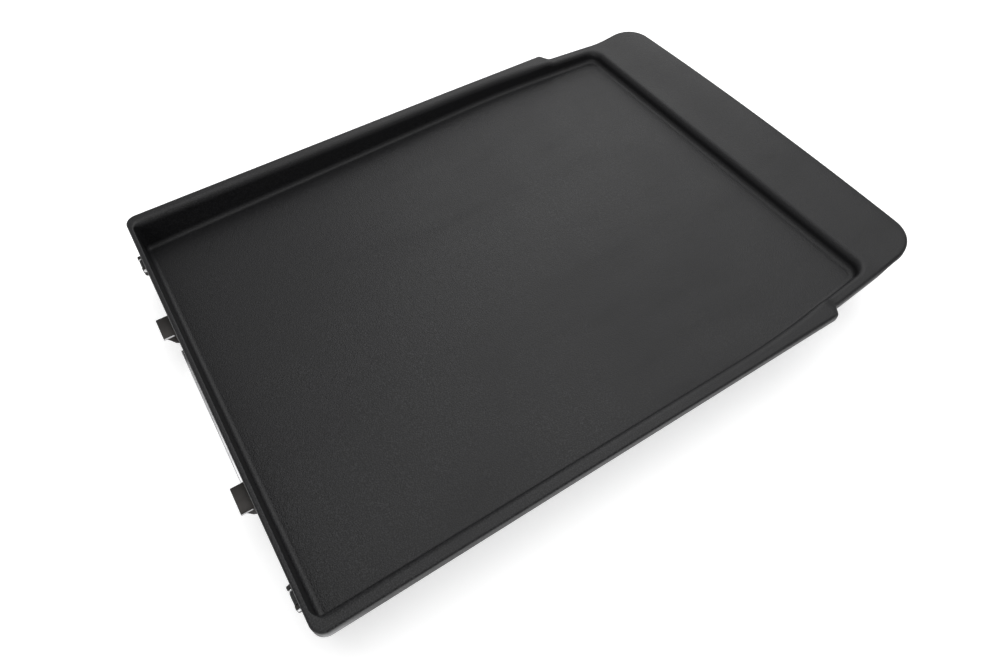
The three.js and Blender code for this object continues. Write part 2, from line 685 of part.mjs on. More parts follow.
for (const clamp of clampPlaces) {
  const seat = new THREE.Group();
  seat.position.set(alongFloor(clamp.x), clamp.y, 0);
  seat.rotation.z = clamp.sign > 0 ? 0 : Math.PI;
  floorFrame.add(seat);
  addPiece(`heater_clamp_${clamp.name}`, clampStrap(), zincSteel, seat);
  const clampScrew = screw(CLAMP_BOSS_DROP + CLAMP_SHEET);
  const fixing = addPiece(`clamp_screw_${clamp.name}`, clampScrew, zincSteel, seat);
  fixing.position.set(0, CLAMP_REACH, -CLAMP_BOSS_DROP - CLAMP_SHEET - 2 * TOUCH_GAP);
}

// ---------------------------------------------------------------- temperature sensor and its lead

const sensor = turned([
  [0, -SENSOR_LENGTH / 2],
  [SENSOR_DIAMETER / 2 - 0.8, -SENSOR_LENGTH / 2],
  [SENSOR_DIAMETER / 2, 0.8 - SENSOR_LENGTH / 2],
  [SENSOR_DIAMETER / 2, SENSOR_LENGTH / 2 - 0.8],
  [SENSOR_DIAMETER / 2 - 0.8, SENSOR_LENGTH / 2],
  [0, SENSOR_LENGTH / 2],
]);
addPiece("temperature_sensor", sensor.rotateY(Math.PI / 2).translate(sensorX, 0, sensorZ), nickel);

const leadStart = BLOCK_START + BLOCK_LENGTH + 1;
const leadPath = new THREE.CubicBezierCurve3(
  new THREE.Vector3(leadStart, 0, pinHeight),
  new THREE.Vector3(leadStart + 16, 0, pinHeight),
  new THREE.Vector3(SENSOR_START - 16, 0, sensorZ),
  new THREE.Vector3(SENSOR_START - TOUCH_GAP, 0, sensorZ),
);
addPiece("sensor_lead", tube(leadPath, LEAD_DIAMETER / 2, 8, 16), mineralFibre);

// ---------------------------------------------------------------- terminals and their guard

const blockEnd = BLOCK_START + BLOCK_LENGTH;
const pinTip = PIN_RECESS - GUARD_PROUD;
const powerPinY = POWER_PIN_SPACING / 2;
const signalPinY = SIGNAL_PIN_SPACING / 2;
const pinBore = (diameter, y) => {
  return lengthBar(diameter / 2 + TOUCH_GAP, y, pinHeight, BLOCK_START - 1, blockEnd + 1, 16);
};

function terminalBlock() {
  const inside = GUARD_SHEET + TOUCH_GAP;
  const half = GUARD_WIDTH / 2 - inside;
  const blank = box(BLOCK_START, blockEnd, -half, half, SHIELD_HEIGHT + inside, guardTop - inside);
  const bores = [pinBore(POWER_PIN_DIAMETER, EARTH_PIN_OFFSET)];
  for (const { sign } of SIDES) {
    bores.push(pinBore(POWER_PIN_DIAMETER, sign * powerPinY));
    bores.push(pinBore(SIGNAL_PIN_DIAMETER, sign * signalPinY));
    bores.push(screwHole(guardScrewX, sign * guardScrewY, 0, RIM_HEIGHT));
  }
  return surface(cut(blank, ...bores));
}
addPiece("terminal_block", terminalBlock(), steatite);

// A round-nosed pin along X.
function contactPin(diameter, y, tip, end) {
  const radius = diameter / 2;
  const pin = turned(
    [
      [0, tip],
      [radius * 0.6, tip + radius * 0.15],
      [radius, tip + radius * 0.8],
      [radius, end],
      [0, end],
    ],
    16,
  );
  return pin.rotateY(Math.PI / 2).translate(0, y, pinHeight);
}
for (const { side, sign } of SIDES) {
  const end = blockEnd + 1 - TOUCH_GAP;
  addPiece(`power_pin_${side}`, contactPin(POWER_PIN_DIAMETER, sign * powerPinY, pinTip, end), nickel);
  const signal = contactPin(SIGNAL_PIN_DIAMETER, sign * signalPinY, pinTip + 2, blockEnd);
  addPiece(`signal_pin_${side}`, signal, nickel);
}
addPiece("earth_pin", contactPin(POWER_PIN_DIAMETER, EARTH_PIN_OFFSET, pinTip - 2, blockEnd), nickel);

function terminalGuard() {
  const half = GUARD_WIDTH / 2;
  const shell = box(-GUARD_PROUD, blockEnd, -half, half, SHIELD_HEIGHT, guardTop);
  const mouth = box(
    -GUARD_PROUD - 1,
    blockEnd + 1,
    GUARD_SHEET - half,
    half - GUARD_SHEET,
    SHIELD_HEIGHT + GUARD_SHEET,
    guardTop - GUARD_SHEET,
  );
  const holes = SIDES.map(({ sign }) => screwHole(guardScrewX, sign * guardScrewY, 0, RIM_HEIGHT));
  return surface(cut(shell, mouth, ...holes));
}
addPiece("terminal_guard", terminalGuard(), stainless);

for (const { side, sign } of SIDES) {
  const seat = SHIELD_HEIGHT - TOUCH_GAP;
  const fixing = addPiece(`guard_screw_${side}`, screw(floorTop(guardScrewX) - 1.8 - seat), stainless);
  fixing.position.set(guardScrewX, sign * guardScrewY, seat);
}

// ---------------------------------------------------------------- heat shield, mat and feet

function roundedRect(xLow, xHigh, half, corner) {
  const outline = new THREE.Shape();
  outline.moveTo(xLow + corner, -half);
  outline.lineTo(xHigh - corner, -half);
  outline.absarc(xHigh - corner, corner - half, corner, -Math.PI / 2, 0, false);
  outline.absarc(xHigh - corner, half - corner, corner, 0, Math.PI / 2, false);
  outline.lineTo(xLow + corner, half);
  outline.absarc(xLow + corner, half - corner, corner, Math.PI / 2, Math.PI, false);
  outline.absarc(xLow + corner, corner - half, corner, Math.PI, 1.5 * Math.PI, false);
  return outline;
}

// The shield's outline, moved in by the given distance.
function shieldOutline(inset) {
  return roundedRect(SHIELD_START + inset, shieldEnd - inset, shieldHalf - inset, SHIELD_CORNER - inset);
}

// A plate of the given outline that lies just under the sloping floor.
function underFloorSheet(outline, thickness) {
  const options = { depth: thickness, bevelEnabled: false, curveSegments: 4 };
  const geometry = new THREE.ExtrudeGeometry(outline, options);
  return solid(followFloor(geometry.translate(0, 0, floorUnder(wellStart) - TOUCH_GAP - thickness)));
}

function heatShield() {
  const wallOutline = shieldOutline(SHIELD_FLANGE);
  const inner = shieldOutline(SHIELD_FLANGE + SHIELD_SHEET);
  const walls = prism(wallOutline, SHIELD_HEIGHT, RIM_HEIGHT, 4);
  const hollow = prism(inner, shieldInside, RIM_HEIGHT + OVERCUT, 4);
  const flange = underFloorSheet(shieldOutline(0), SHIELD_SHEET);
  const wallTop = (x) => floorUnder(x) - TOUCH_GAP - SHIELD_SHEET / 2;
  const belowFloor = sideProfile(
    [
      [0, 0],
      [PLATE_LENGTH, 0],
      [PLATE_LENGTH, wallTop(PLATE_LENGTH)],
      [0, wallTop(0)],
    ],
    -PLATE_WIDTH,
    PLATE_WIDTH,
  );
  let shield = cut(joined(walls.intersect(belowFloor), flange), hollow);
  for (const { x, y } of [...footPlaces, ...panScrewPlaces]) {
    shield = shield.subtract(screwHole(x, y, 0, 12));
  }
  const passage = (radius, y) => lengthBar(radius, y, pinHeight, SHIELD_START - 1, SHIELD_START + 12, 16);
  for (const { sign } of SIDES) shield = shield.subtract(passage(heaterRadius + 1.4, sign * powerPinY));
  return surface(shield.subtract(passage(LEAD_DIAMETER / 2 + 0.6, 0)));
}
addPiece("heat_shield", heatShield(), aluminised);

function insulationMat() {
  const outline = shieldOutline(SHIELD_FLANGE + SHIELD_SHEET + MAT_MARGIN);
  const bottom = shieldInside + TOUCH_GAP;
  let mat = prism(outline, bottom, bottom + MAT_THICKNESS, 3);
  for (const { x, y } of [...footPlaces, ...panScrewPlaces]) {
    mat = mat.subtract(post(BOSS_DIAMETER / 2 + 1, x, y, 0, RIM_HEIGHT, 16));
  }
  const dockNotch = box(SHIELD_START, SHIELD_START + 22, -22, 22, 0, RIM_HEIGHT);
  return surface(mat.subtract(dockNotch));
}
addPiece("insulation_mat", insulationMat(), mineralFibre);

// A rubber foot with a deep pocket, so that the screw's head never meets the ground.
const FOOT_POCKET = 3;
function foot() {
  const radius = FOOT_DIAMETER / 2;
  const bore = SCREW_SHANK + TOUCH_GAP;
  const pocket = SCREW_HEAD + TOUCH_GAP;
  return turned(
    [
      [pocket, 0],
      [radius - FOOT_TAPER, 0],
      [radius - FOOT_TAPER + 0.6, 0.6],
      [radius, FOOT_HEIGHT],
      [bore, FOOT_HEIGHT],
      [bore, FOOT_POCKET],
      [pocket, FOOT_POCKET],
      [pocket, 0],
    ],
    24,
  );
}
for (const { name, x, y } of footPlaces) {
  addPiece(`foot_${name}`, foot(), rubber).position.set(x, y, 0);
  const seat = FOOT_POCKET - TOUCH_GAP;
  addPiece(`foot_screw_${name}`, screw(shieldInside + 8 - seat), zincSteel).position.set(x, y, seat);
}
for (const { name, x, y } of panScrewPlaces) {
  const seat = SHIELD_HEIGHT - TOUCH_GAP;
  addPiece(`shield_screw_${name}`, screw(shieldInside + 8 - seat), zincSteel).position.set(x, y, seat);
}

// ---------------------------------------------------------------- docking hooks

// A pressed hook: tongue, leg down the end wall, foot under the floor, and a wedge under the tongue.
function dockingHook() {
  const legOut = -TOUCH_GAP - HOOK_SHEET;
  const under = lugTop - HOOK_SHEET;
  const footEnd = hookScrewX + 5;
  const half = HOOK_WIDTH / 2;
  const bend = [
    [-HOOK_REACH, lugTop],
    [-HOOK_REACH, under],
    [legOut, under],
    [legOut, hookFootTop - HOOK_SHEET],
    [footEnd, hookFootTop - HOOK_SHEET],
    [footEnd, hookFootTop],
    [-TOUCH_GAP, hookFootTop],
    [-TOUCH_GAP, lugTop],
  ];
  const wedgeTop = under - WEDGE_GROOVE;
  const wedge = [
    [legOut + 0.5, wedgeTop],
    [1 - HOOK_REACH, wedgeTop],
    [1 - HOOK_REACH, wedgeTop - 0.8],
    [legOut + 0.5, wedgeTop - WEDGE_DEPTH],
  ];
  const blank = joined(
    sideProfile(bend, -half, half),
    sideProfile(wedge, -WEDGE_WIDTH / 2, WEDGE_WIDTH / 2),
  );
  const holes = [-hookScrewY, hookScrewY].map((y) => screwHole(hookScrewX, y, 0, lugTop - 1));
  return surface(cut(blank, ...holes));
}
for (const { side, sign } of SIDES) {
  addPiece(`docking_hook_${side}`, dockingHook(), blackSteel).position.y = sign * hookY;
  for (const [index, offset] of [-hookScrewY, hookScrewY].entries()) {
    const seat = hookFootTop - HOOK_SHEET - TOUCH_GAP;
    const fixing = addPiece(
      `hook_screw_${side}_${index + 1}`,
      screw(floorTop(hookScrewX) - 1.8 - seat),
      zincSteel,
    );
    fixing.position.set(hookScrewX, sign * hookY + offset, seat);
  }
}

// ---------------------------------------------------------------- roller brackets and rollers

const rollerX = -TOUCH_GAP - ROLLER_DIAMETER / 2;
const rollerZ = lugTop - ROLLER_DIAMETER / 2 - TOUCH_GAP;
const cheekIn = BRACKET_WIDTH / 2 - BRACKET_CHEEK;

// A pressed bracket: foot under the floor, leg up the end wall, and two ears that hold the roller's pin.
function rollerBracket() {
  const half = BRACKET_WIDTH / 2;
  const legOut = -TOUCH_GAP - HOOK_SHEET;
  const legTop = rollerZ - ROLLER_DIAMETER / 2 - 2 * TOUCH_GAP;
  const footEnd = bracketScrewX + 5;
  const earBottom = lugTop - EAR_HEIGHT;
  const ear = [
    [-TOUCH_GAP, lugTop],
    [0.8 - BRACKET_REACH, lugTop],
    [-BRACKET_REACH, lugTop - 0.8],
    [-BRACKET_REACH, earBottom + 2.5],
    [legOut, earBottom],
    [-TOUCH_GAP, earBottom],
  ];
  const bend = [
    [legOut, legTop],
    [legOut, hookFootTop - HOOK_SHEET],
    [footEnd, hookFootTop - HOOK_SHEET],
    [footEnd, hookFootTop],
    [-TOUCH_GAP, hookFootTop],
    [-TOUCH_GAP, legTop],
  ];
  const blank = joined(
    sideProfile(bend, -half, half),
    sideProfile(ear, cheekIn, half),
    sideProfile(ear, -half, -cheekIn),
  );
  const holeRadius = ROLLER_PIN_DIAMETER / 2 + TOUCH_GAP;
  const pinHole = crossBar(holeRadius, rollerX, rollerZ, -BRACKET_WIDTH, BRACKET_WIDTH, 12);
  return surface(cut(blank, pinHole, screwHole(bracketScrewX, 0, 0, lugTop)));
}

// A small roller with eased ends, bored to run on its pin.
function guideRoller(width) {
  const radius = ROLLER_DIAMETER / 2;
  const bore = ROLLER_PIN_DIAMETER / 2 + ROLLER_RUNNING_GAP;
  const half = width / 2;
  return turned(
    [
      [bore, -half],
      [radius - 0.3, -half],
      [radius, 0.3 - half],
      [radius, half - 0.3],
      [radius - 0.3, half],
      [bore, half],
      [bore, -half],
    ],
    24,
  ).rotateX(Math.PI / 2);
}

function rollerPin() {
  const radius = ROLLER_PIN_DIAMETER / 2;
  const half = BRACKET_WIDTH / 2 + TOUCH_GAP;
  return turned(
    [
      [0, -half - 0.6],
      [radius + 0.5, -half - 0.6],
      [radius + 0.5, -half],
      [radius, -half],
      [radius, half + 0.3],
      [radius - 0.3, half + 0.6],
      [0, half + 0.6],
    ],
    16,
  ).rotateX(Math.PI / 2);
}

function rollerWasher() {
  const bore = ROLLER_PIN_DIAMETER / 2 + TOUCH_GAP;
  const half = WASHER_THICKNESS / 2;
  const rim = WASHER_DIAMETER / 2;
  return turned([
    [bore, -half],
    [rim, -half],
    [rim, half],
    [bore, half],
    [bore, -half],
  ]).rotateX(Math.PI / 2);
}

for (const { side, sign } of SIDES) {
  const mounted = new THREE.Group();
  mounted.position.y = sign * bracketY;
  griddle.add(mounted);
  addPiece(`roller_bracket_${side}`, rollerBracket(), blackSteel, mounted);
  const seat = hookFootTop - HOOK_SHEET - TOUCH_GAP;
  const fixing = addPiece(
    `bracket_screw_${side}`,
    screw(floorTop(bracketScrewX) - 1.8 - seat),
    zincSteel,
    mounted,
  );
  fixing.position.set(bracketScrewX, 0, seat);
  const rollerWidth = 2 * cheekIn - WASHER_THICKNESS - 3 * TOUCH_GAP;
  const roller = addPiece(`guide_roller_${side}`, guideRoller(rollerWidth), nylon, mounted);
  roller.position.set(rollerX, TOUCH_GAP + rollerWidth / 2 - cheekIn, rollerZ);
  addPiece(`roller_pin_${side}`, rollerPin(), stainless, mounted).position.set(rollerX, 0, rollerZ);
  const washer = addPiece(`roller_washer_${side}`, rollerWasher(), stainless, mounted);
  washer.position.set(rollerX, cheekIn - TOUCH_GAP - WASHER_THICKNESS / 2, rollerZ);
}

export default griddle;
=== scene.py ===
"""Looks of a slide-in electric griddle: plate, docking hooks, rollers, terminals, heat shield, feet."""

import math

import bmesh
import bpy
from mathutils import Matrix, Vector


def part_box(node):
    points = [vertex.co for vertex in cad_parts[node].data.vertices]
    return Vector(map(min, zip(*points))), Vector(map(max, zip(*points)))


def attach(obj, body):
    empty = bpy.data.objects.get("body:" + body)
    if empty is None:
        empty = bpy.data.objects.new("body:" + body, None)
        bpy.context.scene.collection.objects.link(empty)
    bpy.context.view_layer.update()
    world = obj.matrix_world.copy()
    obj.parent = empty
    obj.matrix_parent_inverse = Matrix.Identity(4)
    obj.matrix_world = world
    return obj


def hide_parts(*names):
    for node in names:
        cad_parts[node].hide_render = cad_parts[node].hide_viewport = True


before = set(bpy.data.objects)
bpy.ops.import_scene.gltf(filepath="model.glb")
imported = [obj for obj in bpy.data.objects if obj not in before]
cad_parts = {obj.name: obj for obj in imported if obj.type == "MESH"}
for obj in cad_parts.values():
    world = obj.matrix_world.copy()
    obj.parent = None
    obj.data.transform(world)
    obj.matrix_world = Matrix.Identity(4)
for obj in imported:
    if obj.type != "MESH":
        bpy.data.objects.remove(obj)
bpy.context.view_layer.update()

MM = 0.001
GAP = 0.3 * MM  # between pieces that touch

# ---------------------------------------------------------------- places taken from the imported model

plate_low, plate_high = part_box("griddle_plate")
DOCK = plate_low.x  # the docking edge
HALF = plate_high.y  # half the plate's width
LENGTH = plate_high.x - DOCK
HANDLE_LIFT = 3.5 * MM
RIM = plate_high.z - HANDLE_LIFT

# ---------------------------------------------------------------- the casting's own sizes

WELL_INSET = 3 * MM  # the well's wall behind the docking edge
WALL = 3 * MM
RIM_ROUND = 4.5 * MM
DOCK_ROUND = 0.8 * MM
NECK_ROUND = 3.2 * MM
WELL_END = LENGTH - 43.6 * MM
WELL_HALF = HALF - 9 * MM
WELL_TAPER = 7 * MM
TAPER_START = WELL_END - 110.5 * MM
WELL_CORNER = 4 * MM
WELL_CORNER_HANDLE = 9 * MM
DEPTH_DOCK = 22 * MM
DEPTH_HANDLE = 9.6 * MM
SLOPE = (DEPTH_DOCK - DEPTH_HANDLE) / (WELL_END - WELL_INSET)
FLOOR_FILLET = 3.2 * MM
ROUND_SHARE = 0.55  # most of the wall's height that the rounding above it takes up
FILLET_SHARE = 0.36  # and that the fillet below takes up
FLOOR_THICKNESS = 3 * MM
UNDER_ROUND = 3.5 * MM
DOCK_CORNER = 7 * MM
SHOULDER = WELL_END - 42.2 * MM
SHOULDER_RUN = 9 * MM
SHOULDER_STEP = 5.7 * MM
NECK_STEP = 10.4 * MM
HANDLE_BOW = 2.5 * MM
HANDLE_CORNER = 21 * MM
SKIRT = 2.6 * MM


def blend_between(knots, x):
    """Value at x of a curve that eases from knot to knot; knots are (x, value) in millimetres."""
    x = x / MM
    if x <= knots[0][0]:
        return knots[0][1] * MM
    for (x0, v0), (x1, v1) in zip(knots, knots[1:]):
        if x <= x1:
            t = (x - x0) / (x1 - x0)
            return (v0 + (v1 - v0) * t * t * (3 - 2 * t)) * MM
    return knots[-1][1] * MM


EDGE_ACROSS = [(0, 1.2), (225, 1.2), (318, 2.0), (345, 2.0), (375, 2.4), (400, 2.4), (407, 2.2)]
EDGE_DOWN = [(0, 1.2), (225, 1.2), (318, 2.0), (327, 2.6), (362, 2.6), (396, 2.0), (407, 1.8)]
SKIRT_BOTTOM = [(0, -7.3), (160, -6.2), (318, -5.4), (330, -6.4)]
SKIRT_BOTTOM += [(362, -6.4), (378, -3.1), (396, -0.3), (407, -0.1)]
LIFT = [(318, 0), (327, -1.6), (363, -1.6), (401, 3.5)]


def lift(x):
    return blend_between(LIFT, x)


def floor_top(x):
    return -DEPTH_DOCK + SLOPE * (x - WELL_INSET)


# ---------------------------------------------------------------- mesh tools


def line(start, end, steps):
    return [Vector(start).lerp(Vector(end), i / steps) for i in range(steps)]


def arc(centre, radius, start, end, steps):
    angles = [start + (end - start) * i / steps for i in range(steps)]
    return [Vector(centre) + radius * Vector((math.cos(a), math.sin(a))) for a in angles]


def ease(start, end, swell, steps):
    """An S-shaped step between two parallel lines."""
    points = []
    p = [start, (start[0] + swell, start[1]), (end[0] - swell, end[1]), end]
    p = [Vector(corner) for corner in p]
    for i in range(steps):
        t = i / steps
        u = 1 - t
        points.append(u**3 * p[0] + 3 * u * u * t * p[1] + 3 * u * t * t * p[2] + t**3 * p[3])
    return points


def first_ring(bm, points):
    verts = [bm.verts.new(p) for p in points]
    for a, b in zip(verts, verts[1:] + verts[:1]):
        bm.edges.new((a, b))
    return verts


def next_ring(bm, ring, points):
    """Extrudes a closed ring and puts its copy on the given points."""
    edges = [bm.edges.get((a, b)) for a, b in zip(ring, ring[1:] + ring[:1])]
    grown = bmesh.ops.extrude_edge_only(bm, edges=edges)["geom"]
    fresh = {v for v in grown if isinstance(v, bmesh.types.BMVert)}
    out = []
    for old, point in zip(ring, points):
        new = next(e.other_vert(old) for e in old.link_edges if e.other_vert(old) in fresh)
        out.append((new, point))
    for new, point in out:
        new.co = point
    return [new for new, _ in out]


def cap(bm, ring):
    edges = [bm.edges.get(pair) for pair in zip(ring, ring[1:] + ring[:1])]
    bmesh.ops.contextual_create(bm, geom=ring + edges)


def skin(bm, rings):
    """A closed body from rings of equally many points, capped at both ends."""
    ring = first_ring(bm, rings[0])
    cap(bm, ring)
    for points in rings[1:]:
        ring = next_ring(bm, ring, points)
    cap(bm, ring)


def tidy(bm):
    bmesh.ops.remove_doubles(bm, verts=bm.verts[:], dist=1e-6)
    bmesh.ops.dissolve_degenerate(bm, edges=bm.edges[:], dist=1e-6)
    bmesh.ops.recalc_face_normals(bm, faces=bm.faces[:])


def piece(name, bm, material, stands_for=(), body="griddle", sharp=40):
    """The finished object of a mesh, riding on its body and standing for its CAD nodes."""
    tidy(bm)
    mesh = bpy.data.meshes.new(name)
    bm.to_mesh(mesh)
    bm.free()
    mesh.materials.append(material)
    mesh.shade_smooth()
    mesh.set_sharp_from_angle(angle=math.radians(sharp))
    thing = bpy.data.objects.new(name, mesh)
    bpy.context.scene.collection.objects.link(thing)
    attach(thing, body)
    if stands_for:
        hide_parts(*stands_for)
    return thing


def add_part(bm, part, place=Matrix.Identity(4)):
    """Puts a finished bmesh into another one, in place, as a body of its own."""
    tidy(part)
    bmesh.ops.transform(part, matrix=place, verts=part.verts[:])
    mesh = bpy.data.meshes.new("part")
    part.to_mesh(mesh)
    part.free()
    bm.from_mesh(mesh)
    bpy.data.meshes.remove(mesh)


def spun(bm, profile, steps, place=Matrix.Identity(4)):
    """A body turned round Z from (radius, z) points, then put in place."""
    part = bmesh.new()
    verts = [part.verts.new((r, 0, z)) for r, z in profile]
    edges = [part.edges.new(pair) for pair in zip(verts, verts[1:])]
    turn = {"cent": (0, 0, 0), "axis": (0, 0, 1), "angle": 2 * math.pi}
    bmesh.ops.spin(part, geom=verts + edges, steps=steps, use_merge=True, **turn)
    add_part(bm, part, place)


STRIP_EDGE_ANGLE = 1.2  # radians; sharper edges of a strip are eased


def strip(bm, profile, low, high, bevel):
    """A side view in XZ, given as corners, drawn out across Y with its edges eased."""
    part = bmesh.new()
    face = part.faces.new([part.verts.new((x, low, z)) for x, z in profile])
    drawn = bmesh.ops.extrude_face_region(part, geom=[face])["geom"]
    moved = [v for v in drawn if isinstance(v, bmesh.types.BMVert)]
    bmesh.ops.translate(part, vec=(0, high - low, 0), verts=moved)
    tidy(part)
    if bevel:
        rims = [e for e in part.edges if len(e.link_faces) == 2]
        rims = [e for e in rims if e.calc_face_angle(0) > STRIP_EDGE_ANGLE]
        eased = {"offset": bevel, "segments": 2, "profile": 0.5, "affect": "EDGES", "material": -1}
        bmesh.ops.bevel(part, geom=rims, **eased)
    add_part(bm, part)


def box_of(*nodes):
    """Lowest and highest corner, and middle, of CAD nodes together."""
    boxes = [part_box(n) for n in nodes]
    low = Vector(min(b[0][i] for b in boxes) for i in range(3))
    high = Vector(max(b[1][i] for b in boxes) for i in range(3))
    return low, high, (low + high) / 2


# ---------------------------------------------------------------- materials


def group(name, inputs, outputs):
    """An empty shader node group with the given float inputs and named outputs."""
    tree = bpy.data.node_groups.new(name, "ShaderNodeTree")
    tree.interface.new_socket("Vector", in_out="INPUT", socket_type="NodeSocketVector")
    for label, value in inputs.items():
        socket = tree.interface.new_socket(label, in_out="INPUT", socket_type="NodeSocketFloat")
        socket.default_value = value
    for label in outputs:
        tree.interface.new_socket(label, in_out="OUTPUT", socket_type="NodeSocketFloat")
    return tree, tree.nodes.new("NodeGroupInput"), tree.nodes.new("NodeGroupOutput")


def math_node(tree, operation, a, b):
    node = tree.nodes.new("ShaderNodeMath")
    node.operation = operation
    for socket, value in zip(node.inputs, (a, b)):
        if isinstance(value, (int, float)):
            socket.default_value = value
        else:
            tree.links.new(value, socket)
    return node.outputs[0]


def noise(tree, vector, scale, detail=2.0, roughness=0.5):
    node = tree.nodes.new("ShaderNodeTexNoise")
    node.inputs["Detail"].default_value = detail
    node.inputs["Roughness"].default_value = roughness
    tree.links.new(vector, node.inputs["Vector"])
    if isinstance(scale, (int, float)):
        node.inputs["Scale"].default_value = scale
    else:
        tree.links.new(scale, node.inputs["Scale"])
    return node.outputs["Fac"]


def ramp(tree, value, low, high):
    node = tree.nodes.new("ShaderNodeMapRange")
    node.interpolation_type = "SMOOTHSTEP"
    tree.links.new(value, node.inputs["Value"])
    node.inputs["From Min"].default_value = low
    node.inputs["From Max"].default_value = high
    return node.outputs["Result"]


def eggshell_group():
    """Fine pebbled texture of a sprayed coating: rounded grains with a softer swell under them."""
    sizes = {"Grain Scale": 900.0, "Swell Scale": 160.0}
    tree, given, made = group("eggshell_grain", sizes, ["Height", "Speckle"])
    cells = tree.nodes.new("ShaderNodeTexVoronoi")
    cells.feature = "SMOOTH_F1"
    tree.links.new(given.outputs["Vector"], cells.inputs["Vector"])
    tree.links.new(given.outputs["Grain Scale"], cells.inputs["Scale"])
    swell = noise(tree, given.outputs["Vector"], given.outputs["Swell Scale"], 3.0)
    grain = math_node(tree, "MULTIPLY", cells.outputs["Distance"], 0.7)
    height = math_node(tree, "ADD", grain, math_node(tree, "MULTIPLY", swell, 0.5))
    tree.links.new(height, made.inputs["Height"])
    speckle = noise(tree, given.outputs["Vector"], given.outputs["Grain Scale"], 1.0)
    tree.links.new(ramp(tree, speckle, 0.42, 0.72), made.inputs["Speckle"])
    return tree


def smudge_group():
    """Broad cloudy marks left by handling and wiping, from 0 to 1."""
    sizes = {"Cloud Scale": 9.0, "Streak Scale": 40.0}
    tree, given, made = group("handling_smudges", sizes, ["Cloud", "Streak"])
    cloud = noise(tree, given.outputs["Vector"], given.outputs["Cloud Scale"], 4.0, 0.6)
    tree.links.new(ramp(tree, cloud, 0.35, 0.7), made.inputs["Cloud"])
    stretch = tree.nodes.new("ShaderNodeMapping")
    stretch.inputs["Scale"].default_value = (0.25, 1.0, 1.0)
    tree.links.new(given.outputs["Vector"], stretch.inputs["Vector"])
    streak = noise(tree, stretch.outputs["Vector"], given.outputs["Streak Scale"], 5.0, 0.65)
    tree.links.new(ramp(tree, streak, 0.45, 0.75), made.inputs["Streak"])
    return tree


def brushed_group():
    """Fine parallel lines of rolled or brushed sheet, along X."""
    tree, given, made = group("brushed_lines", {"Line Scale": 1200.0}, ["Line"])
    stretch = tree.nodes.new("ShaderNodeMapping")
    stretch.inputs["Scale"].default_value = (0.03, 1.0, 1.0)
    tree.links.new(given.outputs["Vector"], stretch.inputs["Vector"])
    lines = noise(tree, stretch.outputs["Vector"], given.outputs["Line Scale"], 2.0)
    tree.links.new(lines, made.inputs["Line"])
    return tree


EGGSHELL = eggshell_group()
SMUDGES = smudge_group()
BRUSHED = brushed_group()


class Material:
    """A material being made: its node tree, its Principled shader and the object coordinates."""

    def __init__(self, name, color, roughness, metallic=0.0):
        self.made = bpy.data.materials.new(name)
        self.made.use_nodes = True
        self.tree = self.made.node_tree
        self.shader = next(n for n in self.tree.nodes if n.type == "BSDF_PRINCIPLED")
        self.color = color
        self.roughness = roughness
        self.shader.inputs["Base Color"].default_value = (*color, 1.0)
        self.shader.inputs["Roughness"].default_value = roughness
        self.shader.inputs["Metallic"].default_value = metallic
        self.place = self.tree.nodes.new("ShaderNodeTexCoord").outputs["Object"]

    def use(self, tree, **values):
        node = self.tree.nodes.new("ShaderNodeGroup")
        node.node_tree = tree
        self.tree.links.new(self.place, node.inputs["Vector"])
        for label, value in values.items():
            node.inputs[label.replace("_", " ")].default_value = value
        return node

    def attribute(self, name):
        node = self.tree.nodes.new("ShaderNodeAttribute")
        node.attribute_name = name
        return node.outputs["Fac"]

    def mix(self, first, second, factor):
        """Mix of two colours, each a tuple or a socket."""
        node = self.tree.nodes.new("ShaderNodeMix")
        node.data_type = "RGBA"
        self.tree.links.new(factor, node.inputs["Factor"])
        for socket, value in ((node.inputs[6], first), (node.inputs[7], second)):
            if isinstance(value, tuple):
                socket.default_value = (*value, 1.0)
            else:
                self.tree.links.new(value, socket)
        return node.outputs[2]

    def scaled(self, factor, low, high):
        """A value that runs from low to high as the factor goes from 0 to 1."""
        return math_node(self.tree, "ADD", math_node(self.tree, "MULTIPLY", factor, high - low), low)

    def link(self, output, label):
        self.tree.links.new(output, self.shader.inputs[label])

    def bump(self, height, distance, strength):
        node = self.tree.nodes.new("ShaderNodeBump")
        node.inputs["Distance"].default_value = distance
        node.inputs["Strength"].default_value = strength
        self.tree.links.new(height, node.inputs["Height"])
        self.link(node.outputs["Normal"], "Normal")


def coated_aluminium():
    """Dark grey non-stick coating, with a painted reflection that makes the skirt's lower edge paler
    near the docking corners.
    """
    m = Material("coated_aluminium", (0.012, 0.012, 0.013), 0.42)
    grain = m.use(EGGSHELL, Grain_Scale=1500.0, Swell_Scale=190.0)
    marks = m.use(SMUDGES, Cloud_Scale=7.0, Streak_Scale=34.0)
    # painted reflection: this attribute marks where the skirt is painted paler to stand for the floor's
    # light reflected in it
    skirt_reflection = m.attribute("painted_corner_reflection")
    body = m.mix((0.0047, 0.0047, 0.0052), (0.021, 0.021, 0.0225), grain.outputs["Speckle"])
    clouded = m.mix(body, (0.0095, 0.0095, 0.0103), marks.outputs["Cloud"])
    m.link(m.mix(clouded, (0.50, 0.50, 0.51), skirt_reflection), "Base Color")
    roughness = m.scaled(marks.outputs["Cloud"], 0.40, 0.47)
    streak = math_node(m.tree, "MULTIPLY", marks.outputs["Streak"], 0.05)
    m.link(math_node(m.tree, "ADD", roughness, streak), "Roughness")
    m.shader.inputs["Specular IOR Level"].default_value = 0.27
    m.bump(grain.outputs["Height"], 0.0002, 0.9)
    return m.made


